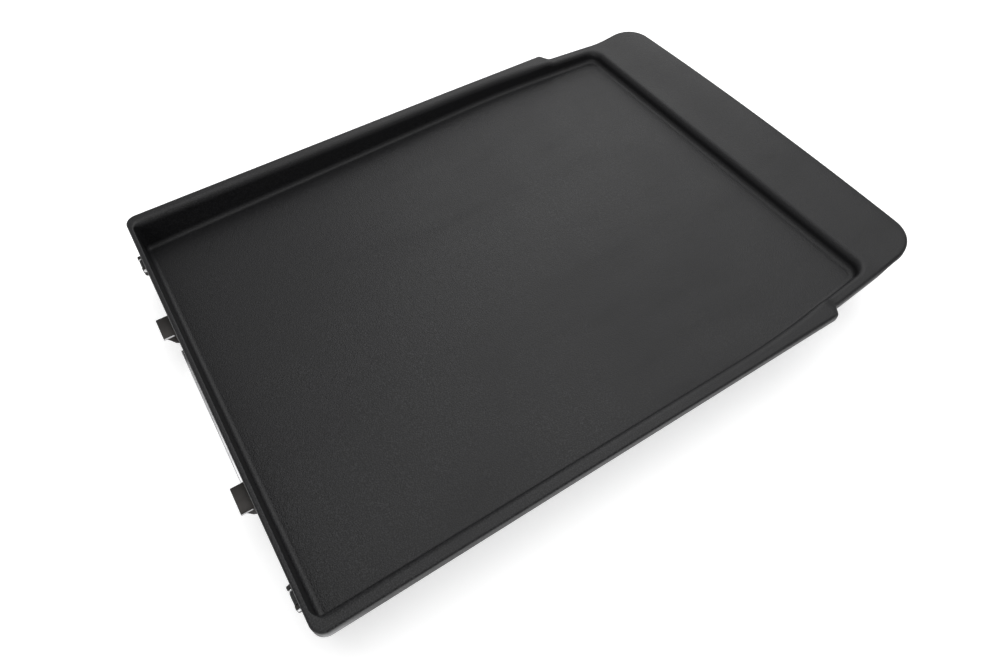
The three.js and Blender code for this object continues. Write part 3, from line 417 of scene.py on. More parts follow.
def metal(name, color, roughness, line_scale=1300.0, depth=0.00002, metallic=1.0):
    """Bare or plated sheet with fine rolling lines and dull patches."""
    m = Material(name, color, roughness, metallic)
    lines = m.use(BRUSHED, Line_Scale=line_scale)
    marks = m.use(SMUDGES, Cloud_Scale=45.0, Streak_Scale=160.0)
    dull = tuple(c * 0.88 for c in color)
    m.link(m.mix(color, dull, marks.outputs["Cloud"]), "Base Color")
    m.link(m.scaled(marks.outputs["Streak"], roughness, roughness + 0.18), "Roughness")
    m.bump(lines.outputs["Line"], depth, 0.4)
    return m.made


def grained(name, color, light, roughness, grain_scale, depth):
    """A dull moulded or fibrous surface with a grain and patches of a second tone."""
    m = Material(name, color, roughness)
    grain = m.use(EGGSHELL, Grain_Scale=grain_scale, Swell_Scale=grain_scale / 5)
    marks = m.use(SMUDGES, Cloud_Scale=60.0, Streak_Scale=150.0)
    speckled = m.mix(color, light, grain.outputs["Speckle"])
    m.link(m.mix(speckled, color, marks.outputs["Cloud"]), "Base Color")
    m.link(m.scaled(marks.outputs["Streak"], roughness, min(roughness + 0.12, 1.0)), "Roughness")
    m.bump(grain.outputs["Height"], depth, 0.5)
    return m.made


coating = coated_aluminium()
black_steel = metal("black_steel", (0.035, 0.032, 0.030), 0.42, 900.0, 0.00003, 0.55)
hook_wedge_steel = metal("hook_wedge_steel", (0.020, 0.015, 0.013), 0.5, 900.0, 0.00003, 0.3)
sheared_steel = metal("sheared_steel", (0.62, 0.62, 0.63), 0.32)
stainless = metal("stainless_steel", (0.72, 0.72, 0.73), 0.26)
zinc_steel = metal("zinc_steel", (0.56, 0.57, 0.59), 0.36)
aluminised = metal("aluminised_steel", (0.60, 0.61, 0.62), 0.42, 700.0, 0.00004)
nickel = metal("nickel_plate", (0.66, 0.62, 0.55), 0.22)
heater_sheath = metal("heater_sheath", (0.13, 0.115, 0.10), 0.5, 1500.0, 0.00002, 0.8)
steatite = grained("steatite", (0.78, 0.74, 0.66), (0.83, 0.80, 0.73), 0.62, 1500.0, 0.00004)
mineral_fibre = grained("mineral_fibre", (0.70, 0.66, 0.57), (0.80, 0.77, 0.69), 0.92, 600.0, 0.0004)
glass_sleeve = grained("glass_sleeve", (0.72, 0.69, 0.60), (0.84, 0.82, 0.75), 0.85, 1800.0, 0.0002)
black, worn_black = (0.016, 0.016, 0.017), (0.026, 0.026, 0.027)
foot_rubber = grained("foot_rubber", black, worn_black, 0.72, 1400.0, 0.00005)
deep_black = (0.010, 0.010, 0.011)
roller_nylon = grained("roller_nylon", deep_black, black, 0.42, 2000.0, 0.00002)

# ---------------------------------------------------------------- griddle plate

STEPS = {"dock": 18, "corner": 9, "side": 64, "neck": 34, "handle_corner": 16, "end": 30}
DECK_RINGS = 9
ROUND_RINGS = 7


def plate_half():
    """Half of the plate's outline, from the middle of the docking edge to that of the handle edge."""
    neck_side = HALF - SHOULDER_STEP
    handle_side = HALF - NECK_STEP
    corner_x = LENGTH - HANDLE_BOW - HANDLE_CORNER
    bow_start = handle_side - HANDLE_CORNER
    bow_radius = (bow_start**2 + HANDLE_BOW**2) / (2 * HANDLE_BOW)
    bow_angle = math.asin(bow_start / bow_radius)
    shoulder_end = SHOULDER + SHOULDER_RUN
    step = 12
    return [
        *line((0, 0), (0, DOCK_CORNER - HALF), STEPS["dock"]),
        *arc((DOCK_CORNER, DOCK_CORNER - HALF), DOCK_CORNER, math.pi, 1.5 * math.pi, STEPS["corner"]),
        *line((DOCK_CORNER, -HALF), (SHOULDER, -HALF), STEPS["side"]),
        *ease((SHOULDER, -HALF), (shoulder_end, -neck_side), 4.5 * MM, step),
        *line((shoulder_end, -neck_side), (corner_x, -handle_side), STEPS["neck"] - step),
        *arc((corner_x, -bow_start), HANDLE_CORNER, -math.pi / 2, -bow_angle, STEPS["handle_corner"]),
        *arc((LENGTH - bow_radius, 0), bow_radius, -bow_angle, 0, STEPS["end"]),
        Vector((LENGTH, 0)),
    ]


def well_half():
    """Half of the well's outline at the wall, with as many points as the plate's."""
    end_half = WELL_HALF - WELL_TAPER
    dock_y = WELL_CORNER - WELL_HALF
    end_y = WELL_CORNER_HANDLE - end_half
    last = WELL_END - WELL_CORNER_HANDLE
    start = WELL_INSET + WELL_CORNER
    side = []
    for i in range(STEPS["side"] + STEPS["neck"]):
        if i < STEPS["side"]:
            x = DOCK_CORNER + (SHOULDER - DOCK_CORNER) * i / STEPS["side"]
        else:
            x = SHOULDER + (last - SHOULDER) * (i - STEPS["side"]) / STEPS["neck"]
        t = max(0.0, (x - TAPER_START) / (last - TAPER_START))
        side.append(Vector((x, WELL_TAPER * t * t * (1.6 - 0.6 * t) - WELL_HALF)))
    return [
        *line((WELL_INSET, 0), (WELL_INSET, dock_y), STEPS["dock"]),
        *arc((start, dock_y), WELL_CORNER, math.pi, 1.5 * math.pi, STEPS["corner"]),
        *side,
        *arc((last, end_y), WELL_CORNER_HANDLE, -math.pi / 2, 0, STEPS["handle_corner"]),
        *line((WELL_END, end_y), (WELL_END, 0), STEPS["end"]),
        Vector((WELL_END, 0)),
    ]


def whole(half):
    """Both halves of an outline, as one closed run of points."""
    return half + [Vector((p.x, -p.y)) for p in reversed(half[1:-1])]


def outward(outline):
    """Unit vectors square to a closed outline, pointing out."""
    out = []
    count = len(outline)
    for i in range(count):
        along = outline[(i + 1) % count] - outline[i - 1]
        out.append(Vector((along.y, -along.x)).normalized())
    return out


def smooth01(t):
    t = min(max(t, 0.0), 1.0)
    return t * t * (3 - 2 * t)


edge = whole(plate_half())
edge_out = outward(edge)
well = whole(well_half())
well_out = outward(well)
count = len(edge)
across = [blend_between(EDGE_ACROSS, p.x) for p in edge]
down = [blend_between(EDGE_DOWN, p.x) for p in edge]
skirt_low = [blend_between(SKIRT_BOTTOM, p.x) for p in edge]
rim_round = []
for p, n in zip(well, well_out):
    toward_dock = smooth01(1 - (p.x - WELL_INSET) / (WELL_CORNER * 1.2))
    radius = RIM_ROUND + (DOCK_ROUND - RIM_ROUND) * toward_dock
    in_neck = smooth01((p.x - SHOULDER + 20 * MM) / (22 * MM)) * abs(n.y) ** 2
    rim_round.append(radius + (NECK_ROUND - RIM_ROUND) * in_neck)
wall_top = [lift((w + n * r).x) for w, n, r in zip(well, well_out, rim_round)]
wall_height = [top - floor_top(w.x) for top, w in zip(wall_top, well)]
round_down = [min(r, ROUND_SHARE * height) for r, height in zip(rim_round, wall_height)]
fillet_up = [min(FLOOR_FILLET, FILLET_SHARE * height) for height in wall_height]
channel = [max(0.0, (e - (w + n * WALL)).dot(o)) for e, w, n, o in zip(edge, well, well_out, edge_out)]
channel_open = [smooth01((c - SKIRT) / (2 * MM)) for c in channel]


NO_CHANNEL = 0.5 * MM  # where the gap between skirt and well is narrower, the casting is solid


def ring_of(place):
    """A ring of points; place(i) gives one as (x, y) and height over the rim."""
    out = []
    for i in range(count):
        flat, z = place(i)
        out.append(Vector((DOCK + flat.x, flat.y, RIM + z)))
    return out


def edge_ring(angle):
    """On the rounded outer edge: 0 is at the skirt's top, a right angle is on the deck."""

    def place(i):
        inset = across[i] * (1 - math.cos(angle))
        top = lift(edge[i].x) - down[i] * (1 - math.sin(angle))
        return edge[i] - edge_out[i] * inset, top

    return ring_of(place)


def deck_ring(t):
    def place(i):
        start = edge[i] - edge_out[i] * across[i]
        end = well[i] + well_out[i] * rim_round[i]
        flat = start.lerp(end, t)
        return flat, lift(flat.x)

    return ring_of(place)


def rounding_ring(angle):
    """From the deck, at 0, round to the well's wall at a right angle."""

    def place(i):
        r = rim_round[i]
        flat = well[i] + well_out[i] * r * (1 - math.sin(angle))
        return flat, wall_top[i] - round_down[i] * (1 - math.cos(angle))

    return ring_of(place)


def fillet_ring(angle):
    """From the wall, at 0, round to the floor at a right angle."""

    def place(i):
        flat = well[i] - well_out[i] * FLOOR_FILLET * (1 - math.cos(angle))
        return flat, floor_top(flat.x) + fillet_up[i] * (1 - math.sin(angle))

    return ring_of(place)


def floor_ring(inset):
    def place(i):
        flat = well[i] - well_out[i] * (FLOOR_FILLET + inset)
        return flat, floor_top(flat.x)

    return ring_of(place)


def skirt_ring(inset, rise):
    """Round the skirt's lower edge, and up its inside to the deck's underside."""

    def place(i):
        t = min(inset, channel[i])
        ceiling = lift(edge[i].x) - WALL
        low = skirt_low[i]
        z = low + min(rise, 1 * MM)
        if rise >= 2 * MM:
            z = low + (ceiling - 1 * MM - low) * channel_open[i]
        return edge[i] - edge_out[i] * t, z if channel[i] > NO_CHANNEL or inset == 0 else low

    return ring_of(place)


def ceiling_ring(t):
    """Underside of the deck, from the skirt to the well's outer wall."""

    def place(i):
        used = min(SKIRT + 1 * MM, channel[i])
        start = edge[i] - edge_out[i] * used
        end = well[i] + well_out[i] * (WALL + min(1 * MM, channel[i] - used))
        flat = start.lerp(end, t)
        return flat, skirt_low[i] + (lift(flat.x) - WALL - skirt_low[i]) * channel_open[i]

    return ring_of(place)


def under_ring(angle):
    """Outside of the well's wall rounding into the floor's underside."""

    def place(i):
        flat = well[i] + well_out[i] * (WALL - UNDER_ROUND * (1 - math.cos(angle)))
        z = floor_top(flat.x) - FLOOR_THICKNESS + UNDER_ROUND * (1 - math.sin(angle))
        return flat, min(z, skirt_low[i]) if channel[i] < NO_CHANNEL else z

    return ring_of(place)


def wall_ring():
    def place(i):
        flat = well[i] + well_out[i] * WALL
        z = skirt_low[i] + (lift(flat.x) - WALL - 1 * MM - skirt_low[i]) * channel_open[i]
        return flat, z

    return ring_of(place)


def under_floor_ring(inset):
    def place(i):
        flat = well[i] + well_out[i] * (WALL - UNDER_ROUND - inset)
        return flat, floor_top(flat.x) - FLOOR_THICKNESS

    return ring_of(place)


def quarter(steps):
    return [math.pi / 2 * i / steps for i in range(steps + 1)]


def plate_rings():
    rings = [floor_ring(0.6 * MM), floor_ring(0.3 * MM)]
    rings += [fillet_ring(a) for a in reversed(quarter(5))]
    rings += [rounding_ring(a) for a in reversed(quarter(ROUND_RINGS))]
    rings += [deck_ring(1 - t / DECK_RINGS) for t in range(1, DECK_RINGS)]
    rings += [edge_ring(a) for a in reversed(quarter(6))]
    rings += [skirt_ring(0, 0.5 * MM), skirt_ring(0.15 * MM, 0.15 * MM), skirt_ring(0.5 * MM, 0)]
    rings += [skirt_ring(SKIRT - 0.5 * MM, 0), skirt_ring(SKIRT, 0.5 * MM), skirt_ring(SKIRT, 3 * MM)]
    rings += [ceiling_ring(t / 6) for t in range(7)]
    rings += [wall_ring()]
    rings += [under_ring(a) for a in quarter(4)]
    rings += [under_floor_ring(1 * MM), under_floor_ring(2 * MM)]
    return rings


def under_floor(x):
    return RIM + floor_top(x - DOCK) - FLOOR_THICKNESS


SCREW_HOLE = 2.05 * MM  # radius


def boss(bm, x, y, bottom, radius):
    """A cast boss with a fillet at its root and a blind hole, from its seat up into the floor."""
    root = under_floor(x)
    deep = min(bottom + 8 * MM, root + 1 * MM)
    fillet = 1.4 * MM
    steep = radius * SLOPE + 0.1 * MM
    mouth = (SCREW_HOLE + 0.3 * MM, bottom)
    profile = [(0, deep), (SCREW_HOLE, deep), (SCREW_HOLE, bottom + 0.3 * MM), mouth]
    profile += [(radius - 0.5 * MM, bottom), (radius, bottom + 0.5 * MM)]
    for a in quarter(4):
        profile.append((radius + fillet * (1 - math.cos(a)), root - steep - fillet * (1 - math.sin(a))))
    profile += [(radius + fillet, root + 1.2 * MM), (0, root + 1.2 * MM)]
    spun(bm, profile, 24, Matrix.Translation((x, y, 0)))


LUG_STEP = 2.3 * MM  # from the guard's seat down to that of the hooks and brackets
WIDE_BOSS = 5 * MM
SLIM_BOSS = 3.6 * MM


def boss_places():
    """Screw places and the height of what each boss sits on, from the screws' own nodes."""
    pan_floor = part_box("insulation_mat")[0].z
    guard_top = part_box("terminal_guard")[1].z + GAP
    lug_top = guard_top - LUG_STEP
    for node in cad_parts:
        middle = box_of(node)[2] if "screw" in node else None
        if node.startswith(("foot_screw", "shield_screw")):
            yield middle, pan_floor, WIDE_BOSS
        elif node.startswith("guard_screw"):
            yield middle, guard_top, WIDE_BOSS
        elif node.startswith(("hook_screw", "bracket_screw")):
            yield middle, lug_top, SLIM_BOSS
        elif node.startswith("clamp_screw"):
            yield middle, under_floor(middle.x) - 5 * MM, SLIM_BOSS


REFLECTION_MOST = 0.75  # how strong the painted reflection on the skirt's lower edge gets at its strongest


def griddle_plate():
    bm = bmesh.new()
    skin(bm, plate_rings())
    for middle, bottom, radius in boss_places():
        boss(bm, middle.x, middle.y, bottom, radius)
    plate = piece("griddle_plate_casting", bm, coating, ["griddle_plate"], sharp=50)
    # painted reflection: the skirt's outer face is painted paler low down near the docking corners,
    # standing for the floor's light reflected there
    painted_corner_reflection = plate.data.attributes.new("painted_corner_reflection", "FLOAT", "POINT")
    for v in plate.data.vertices:
        height = v.co.z - RIM
        near_dock = smooth01(1 - (v.co.x - DOCK) / (30 * MM))
        near_side = smooth01((abs(v.co.y) - HALF + 2 * MM) / (1.5 * MM))
        low = smooth01((-height - 1.5 * MM) / (3 * MM)) if height > -9 * MM else 0.0
        painted_corner_reflection.data[v.index].value = REFLECTION_MOST * near_dock * near_side * low
    return plate


griddle_plate()

# ---------------------------------------------------------------- screws


SHANK = 1.75 * MM
SCREW_HEAD = 3.4 * MM
SCREW_HEAD_HEIGHT = 2 * MM
THREAD_PITCH = 0.7 * MM
SCREW_SIDES = 24


def screw(name, node, material):
    """A button-head screw standing on its head, with a hexagonal socket and a few turns of thread."""
    low, high, middle = box_of(node)
    head = SCREW_HEAD
    seat = low.z + SCREW_HEAD_HEIGHT
    angles = [2 * math.pi * i / SCREW_SIDES for i in range(SCREW_SIDES)]

    def circle(radius, z):
        return [Vector((radius * math.cos(a), radius * math.sin(a), z)) for a in angles]

    def hexagon(radius, z):
        out = []
        for angle in angles:
            within = (angle + math.pi / 6) % (math.pi / 3) - math.pi / 6
            reach = radius / math.cos(within)
            out.append(Vector((reach * math.cos(angle), reach * math.sin(angle), z)))
        return out

    under = low.z
    rings = [hexagon(1.35 * MM, under + 1.2 * MM), hexagon(1.4 * MM, under + 0.1 * MM)]
    rings += [circle(SHANK, under)]
    for a in quarter(4)[1:]:
        dome = 1.9 * MM + (head - 1.9 * MM) * math.sin(a)
        rings.append(circle(dome, under + 1.3 * MM * (1 - math.cos(a))))
    rings += [circle(head, seat - 0.2 * MM), circle(head - 0.2 * MM, seat), circle(SHANK, seat)]
    turns = max(2, int((high.z - seat) / THREAD_PITCH))
    for k in range(turns):
        start = seat + (high.z - seat) * k / turns
        rings += [circle(SHANK, start + 0.15 * MM), circle(1.45 * MM, start + 0.4 * MM)]
    rings += [circle(SHANK, high.z - 0.3 * MM), circle(1.4 * MM, high.z)]
    bm = bmesh.new()
    skin(bm, rings)
    bmesh.ops.translate(bm, vec=(middle.x, middle.y, 0), verts=bm.verts[:])
    piece(name, bm, material, [node], sharp=35)


def all_screws():
    for node in sorted(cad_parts):
        if node.startswith("guard_screw"):
            screw(node + "_detail", node, stainless)
        elif "screw" in node and not node.startswith("clamp_screw"):
            screw(node + "_detail", node, zinc_steel)


all_screws()

# ---------------------------------------------------------------- docking hooks

HOOK_SHEET = 1.7 * MM
HOOK_WIDTH = 16.3 * MM
WEDGE_WIDTH = 12.6 * MM


def docking_hook(side):
    """A pressed tongue and leg with a foot under the floor, and a wedge pressed up under the tongue."""
    node = f"docking_hook_{side}"
    low, high, middle = box_of(node)
    top = high.z
    face = DOCK - GAP
    half = HOOK_WIDTH / 2
    bm = bmesh.new()
    leg = [
        (face - HOOK_SHEET, top - HOOK_SHEET),
        (face - HOOK_SHEET, low.z + 0.8 * MM),
        (face - HOOK_SHEET + 0.8 * MM, low.z),
        (high.x, low.z),
        (high.x, low.z + HOOK_SHEET),
        (face + 0.5 * MM, low.z + HOOK_SHEET),
        (face, low.z + HOOK_SHEET + 0.5 * MM),
        (face, top),
        (low.x + 0.3 * MM, top),
        (low.x, top - 0.3 * MM),
        (low.x, top - HOOK_SHEET + 0.2 * MM),
        (low.x + 0.2 * MM, top - HOOK_SHEET),
    ]
    strip(bm, leg, middle.y - half, middle.y + half, 0.2 * MM)
    piece(f"docking_hook_{side}_pressing", bm, black_steel, [node], sharp=30)

    bm = bmesh.new()
    under = top - HOOK_SHEET
    wedge = [
        (face - HOOK_SHEET - 0.05 * MM, under - 0.6 * MM),
        (low.x + 1.0 * MM, under - 0.6 * MM),
        (low.x + 1.0 * MM, under - 1.6 * MM),
        (low.x + 2.6 * MM, under - 4.2 * MM),
        (low.x + 4.4 * MM, under - 8.0 * MM),
        (face - HOOK_SHEET - 0.05 * MM, under - 9.6 * MM),
    ]
    strip(bm, wedge, middle.y - WEDGE_WIDTH / 2, middle.y + WEDGE_WIDTH / 2, 0.35 * MM)
    piece(f"docking_hook_{side}_wedge", bm, hook_wedge_steel, sharp=30)

    bm = bmesh.new()
    lip = [
        (low.x + 0.25 * MM, top - 0.25 * MM),
        (low.x + 0.25 * MM, top - HOOK_SHEET + 0.3 * MM),
        (face - HOOK_SHEET - 0.2 * MM, top - HOOK_SHEET + 0.3 * MM),
        (face - HOOK_SHEET - 0.2 * MM, top - 0.25 * MM),
    ]
    for y in (middle.y - half - 0.03 * MM, middle.y + half - 0.12 * MM):
        strip(bm, lip, y, y + 0.15 * MM, 0)
    piece(f"docking_hook_{side}_sheared_edges", bm, sheared_steel, sharp=30)


# ---------------------------------------------------------------- roller brackets and rollers


def rounded_ear(low_x, high_x, low_z, high_z, corner, steps=6):
    """Side view of an ear with its two free corners rounded."""
    points = [(high_x, low_z), (high_x, high_z)]
    for a in quarter(steps):
        points.append((low_x + corner * (1 - math.sin(a)), high_z - corner * (1 - math.cos(a))))
    foot = corner * 1.6
    for a in quarter(steps):
        points.append((low_x + foot * (1 - math.cos(a)), low_z + foot * (1 - math.sin(a))))
    return points


def roller_bracket(side):
    node = f"roller_bracket_{side}"
    low, high, middle = box_of(node)
    face = DOCK - GAP
    half = (high.y - low.y) / 2
    cheek = 1.8 * MM
    roller_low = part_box(f"guide_roller_{side}")[0].z - 0.6 * MM
    bm = bmesh.new()
    leg = [
        (face, roller_low),
        (face - HOOK_SHEET + 0.3 * MM, roller_low),
        (face - HOOK_SHEET, roller_low - 0.3 * MM),
        (face - HOOK_SHEET, low.z + 0.8 * MM),
        (face - HOOK_SHEET + 0.8 * MM, low.z),
        (high.x, low.z),
        (high.x, low.z + HOOK_SHEET),
        (face + 0.5 * MM, low.z + HOOK_SHEET),
        (face, low.z + HOOK_SHEET + 0.5 * MM),
    ]
    strip(bm, leg, middle.y - half, middle.y + half, 0.2 * MM)
    ear = rounded_ear(low.x, face, high.z - 7 * MM, high.z, 1.0 * MM)
    strip(bm, ear, middle.y - half, middle.y - half + cheek, 0.2 * MM)
    strip(bm, ear, middle.y + half - cheek, middle.y + half, 0.2 * MM)
    piece(f"roller_bracket_{side}_pressing", bm, black_steel, [node], sharp=30)


def across_y(x, y, z):
    """Lays a body turned round Z along Y, centred on a point."""
    return Matrix.Translation((x, y, z)) @ Matrix.Rotation(-math.pi / 2, 4, "X")


def guide_roller(side):
    """A slightly crowned roller with grooves near its ends."""
    node = f"guide_roller_{side}"
    low, high, middle = box_of(node)
    radius = (high.z - low.z) / 2
    half = (high.y - low.y) / 2
    bore = 0.8 * MM
    profile = [(bore, -half), (radius - 0.35 * MM, -half), (radius - 0.1 * MM, 0.2 * MM - half)]
    for k in range(-4, 5):
        z = (half - 0.9 * MM) * k / 4
        profile.append((radius - 0.05 * MM * (k / 4) ** 2, z))
        if abs(k) == 3:
            profile.append((radius - 0.22 * MM, z + 0.1 * MM))
            profile.append((radius - 0.22 * MM, z + 0.25 * MM))
            profile.append((radius - 0.03 * MM, z + 0.35 * MM))
    profile += [(radius - 0.1 * MM, half - 0.2 * MM), (radius - 0.35 * MM, half)]
    profile += [(bore, half), (bore, -half)]
    bm = bmesh.new()
    spun(bm, profile, 40, across_y(middle.x, middle.y, middle.z))
    name, body = f"guide_roller_{side}_moulding", f"roller_{side}"
    piece(name, bm, roller_nylon, [node], body=body)


def roller_pin(side):
    node = f"roller_pin_{side}"
    low, high, middle = box_of(node)
    half = (high.y - low.y) / 2
    shank = 0.7 * MM
    profile = [(0, -half), (0.8 * MM, -half), (1.1 * MM, 0.15 * MM - half), (1.2 * MM, 0.4 * MM - half)]
    profile += [(1.2 * MM, 0.6 * MM - half), (shank, 0.6 * MM - half), (shank, half - 0.3 * MM)]
    profile += [(shank - 0.1 * MM, half - 0.1 * MM), (shank - 0.3 * MM, half), (0, half)]
    bm = bmesh.new()
    spun(bm, profile, 28, across_y(middle.x, middle.y, middle.z))
    piece(f"roller_pin_{side}_rivet", bm, stainless, [node])


def roller_washer(side):
    node = f"roller_washer_{side}"
    low, high, middle = box_of(node)
    half = (high.y - low.y) / 2
    rim = (high.z - low.z) / 2
    ease_by = 0.12 * MM
    profile = [(1.0 * MM, -half), (rim - ease_by, -half), (rim, ease_by - half), (rim, half - ease_by)]
    profile += [(rim - ease_by, half), (1.0 * MM, half), (1.0 * MM, -half)]
    bm = bmesh.new()
    spun(bm, profile, 36, across_y(middle.x, middle.y, middle.z))
    piece(f"roller_washer_{side}_ring", bm, stainless, [node])


# ---------------------------------------------------------------- terminals


def along_x(x, y, z):
    """Lays a body turned round Z along X, its start at a point."""
    return Matrix.Translation((x, y, z)) @ Matrix.Rotation(math.pi / 2, 4, "Y")


def rounded_rect(low, high, corner, x, steps=5):
    """Ring of points round a rectangle in YZ, from (y, z) to (y, z), at one x."""
    out = []
    centres = [
        ((high[0] - corner, high[1] - corner), 0),
        ((low[0] + corner, high[1] - corner), math.pi / 2),
        ((low[0] + corner, low[1] + corner), math.pi),
        ((high[0] - corner, low[1] + corner), 1.5 * math.pi),
    ]
    for (y, z), start in centres:
        for k in range(steps + 1):
            angle = start + math.pi / 2 * k / steps
            out.append(Vector((x, y + corner * math.cos(angle), z + corner * math.sin(angle))))
    return out


def terminal_guard():
    """A rectangular sleeve with rounded corners and a rolled lip at its mouth."""
    low, high, _ = box_of("terminal_guard")
    sheet = 1.0 * MM
    corner = 2.2 * MM

    def ring(x, inset):
        inner = max(corner - inset, 0.6 * MM)
        lows = (low.y + inset, low.z + inset)
        highs = (high.y - inset, high.z - inset)
        return rounded_rect(lows, highs, inner, x)

    lip = 0.5 * MM
    rings = [ring(high.x, sheet), ring(high.x, 0.15 * MM), ring(high.x - 0.15 * MM, 0)]
    for back, inset in ((3.0, 0), (2.7, 0.25), (2.3, 0.25), (2.0, 0)):
        rings.append(ring(low.x + back * MM, inset * MM))
    for a in quarter(6):
        rings.append(ring(low.x + lip * (1 - math.sin(a)), lip * (1 - math.cos(a))))
    for a in quarter(6)[1:]:
        rings.append(ring(low.x + lip * (1 - math.cos(a)), lip + lip * math.sin(a)))
    rings += [ring(low.x + 2.5 * MM, sheet)]
    bm = bmesh.new()
    loop = first_ring(bm, rings[0])
    start = loop
    for points in rings[1:]:
        loop = next_ring(bm, loop, points)
    edges = [bm.edges.get((a, b)) for r in (start, loop) for a, b in zip(r, r[1:] + r[:1])]
    bmesh.ops.bridge_loops(bm, edges=edges)
    piece("terminal_guard_sleeve", bm, stainless, ["terminal_guard"], sharp=35)


def terminal_block():
    """A ceramic block with eased edges and a raised collar round each pin."""
    low, high, _ = box_of("terminal_block")
    ease_by = 0.6 * MM
    bm = bmesh.new()
    rings = []
    for x, inset in ((low.x, ease_by), (low.x + ease_by, 0), (high.x - ease_by, 0), (high.x, ease_by)):
        lows = (low.y + inset, low.z + inset)
        highs = (high.y - inset, high.z - inset)
        rings.append(rounded_rect(lows, highs, 1.2 * MM, x))
    skin(bm, rings)
    collars = [("earth_pin", 2.4 * MM)]
    for side in ("left", "right"):
        collars += [(f"power_pin_{side}", 2.4 * MM), (f"signal_pin_{side}", 1.0 * MM)]
    for node, radius in collars:
        centre = box_of(node)[2]
        wall = radius + 0.25 * MM
        out = 1.1 * MM
        profile = [(wall, 0.6 * MM), (wall, -out), (wall + 0.7 * MM, -out)]
        profile += [(wall + 0.95 * MM, 0.25 * MM - out), (wall + 1.0 * MM, 0)]
        profile += [(wall + 1.3 * MM, 0.6 * MM), (wall, 0.6 * MM)]
        spun(bm, profile, 32, along_x(low.x, centre.y, centre.z))
    piece("terminal_block_ceramic", bm, steatite, ["terminal_block"], sharp=35)


def contact_pin(node):
    """A round-nosed pin with a fine groove behind its nose."""
    low, high, middle = box_of(node)
    radius = (high.z - low.z) / 2
    length = high.x - low.x
    profile = [(0, 0)]
    for a in quarter(8)[1:]:
        profile.append((radius * math.sin(a), radius * 0.85 * (1 - math.cos(a))))
    groove = radius * 1.7
    neck = radius * 0.93
    profile += [(radius, groove), (neck, groove + 0.12 * MM), (neck, groove + 0.4 * MM)]
    profile += [(radius, groove + 0.52 * MM), (radius, length - 0.3 * MM)]
    profile += [(radius - 0.3 * MM, length), (0, length)]
    bm = bmesh.new()
    spun(bm, profile, 32, along_x(low.x, middle.y, middle.z))
    piece(node + "_turned", bm, nickel, [node])


# ---------------------------------------------------------------- heat shield and feet


# Pressed ribs of the pan: distance inside the flange and rise, in millimetres
OUTER_RIB = [(12, 0), (13, 0.3), (14, 0.7), (17, 0.7), (18, 0.3), (19, 0)]
INNER_RIB = [(40, 0), (41, 0.3), (42, 0.7), (46, 0.7), (47, 0.3), (48, 0)]


def heat_shield():
    """A pressed pan: rounded edges, a flange along the sloping floor and shallow stiffening ribs."""
    low, high, _ = box_of("heat_shield")
    sheet = 1.0 * MM
    flange = 4 * MM
    corner = 12 * MM
    steps = 8
    half = high.y

    def plan(inset):
        r = corner - min(inset, corner - 3 * MM)
        x0, x1, y1 = low.x + inset, high.x - inset, half - inset
        return [
            *arc((x1 - r, y1 - r), r, 0, math.pi / 2, steps),
            *line((x1 - r, y1), (x0 + r, y1), 20),
            *arc((x0 + r, y1 - r), r, math.pi / 2, math.pi, steps),
            *line((x0, y1 - r), (x0, r - y1), 20),
            *arc((x0 + r, r - y1), r, math.pi, 1.5 * math.pi, steps),
            *line((x0 + r, -y1), (x1 - r, -y1), 20),
            *arc((x1 - r, r - y1), r, 1.5 * math.pi, 2 * math.pi, steps),
            *line((x1, r - y1), (x1, y1 - r), 20),
        ]

    def ring(inset, height):
        return [Vector((p.x, p.y, height(p.x))) for p in plan(inset)]

    def under(drop):
        return lambda x: under_floor(x) - GAP - drop

    def level(z):
        return lambda x: z

    bottom = low.z
    eased = 0.15 * MM
    rings = [ring(flange + sheet + 1.2 * MM, under(0)), ring(eased, under(0)), ring(0, under(eased))]
    rings += [ring(0, under(sheet - eased)), ring(eased, under(sheet))]
    for a in quarter(4):
        r = 1.2 * MM
        rings.append(ring(flange - r * (1 - math.sin(a)), under(sheet + r * (1 - math.cos(a)))))
    for a in quarter(6):
        r = 2.6 * MM
        rings.append(ring(flange + r * (1 - math.cos(a)), level(bottom + r * (1 - math.sin(a)))))
    for inset, rise in (*OUTER_RIB, *INNER_RIB):
        rings.append(ring(flange + inset * MM, level(bottom + rise * MM)))
    bm = bmesh.new()
    loop = first_ring(bm, rings[0])
    outer = loop
    for points in rings[1:]:
        loop = next_ring(bm, loop, points)
    cap(bm, loop)
    inner = [ring(flange + sheet + 1.2 * MM, under(0)), ring(flange + sheet, under(1.2 * MM))]
    for a in quarter(4):
        r = 1.6 * MM
        top = level(bottom + sheet + r * (1 - math.sin(a)))
        inner.append(ring(flange + sheet + r * (1 - math.cos(a)), top))
    loop = outer
    for points in inner[1:]:
        loop = next_ring(bm, loop, points)
    for inset, rise in OUTER_RIB:
        loop = next_ring(bm, loop, ring(flange + inset * MM, level(bottom + sheet + rise * MM)))
    cap(bm, loop)
    piece("heat_shield_pan", bm, aluminised, ["heat_shield"], sharp=40)


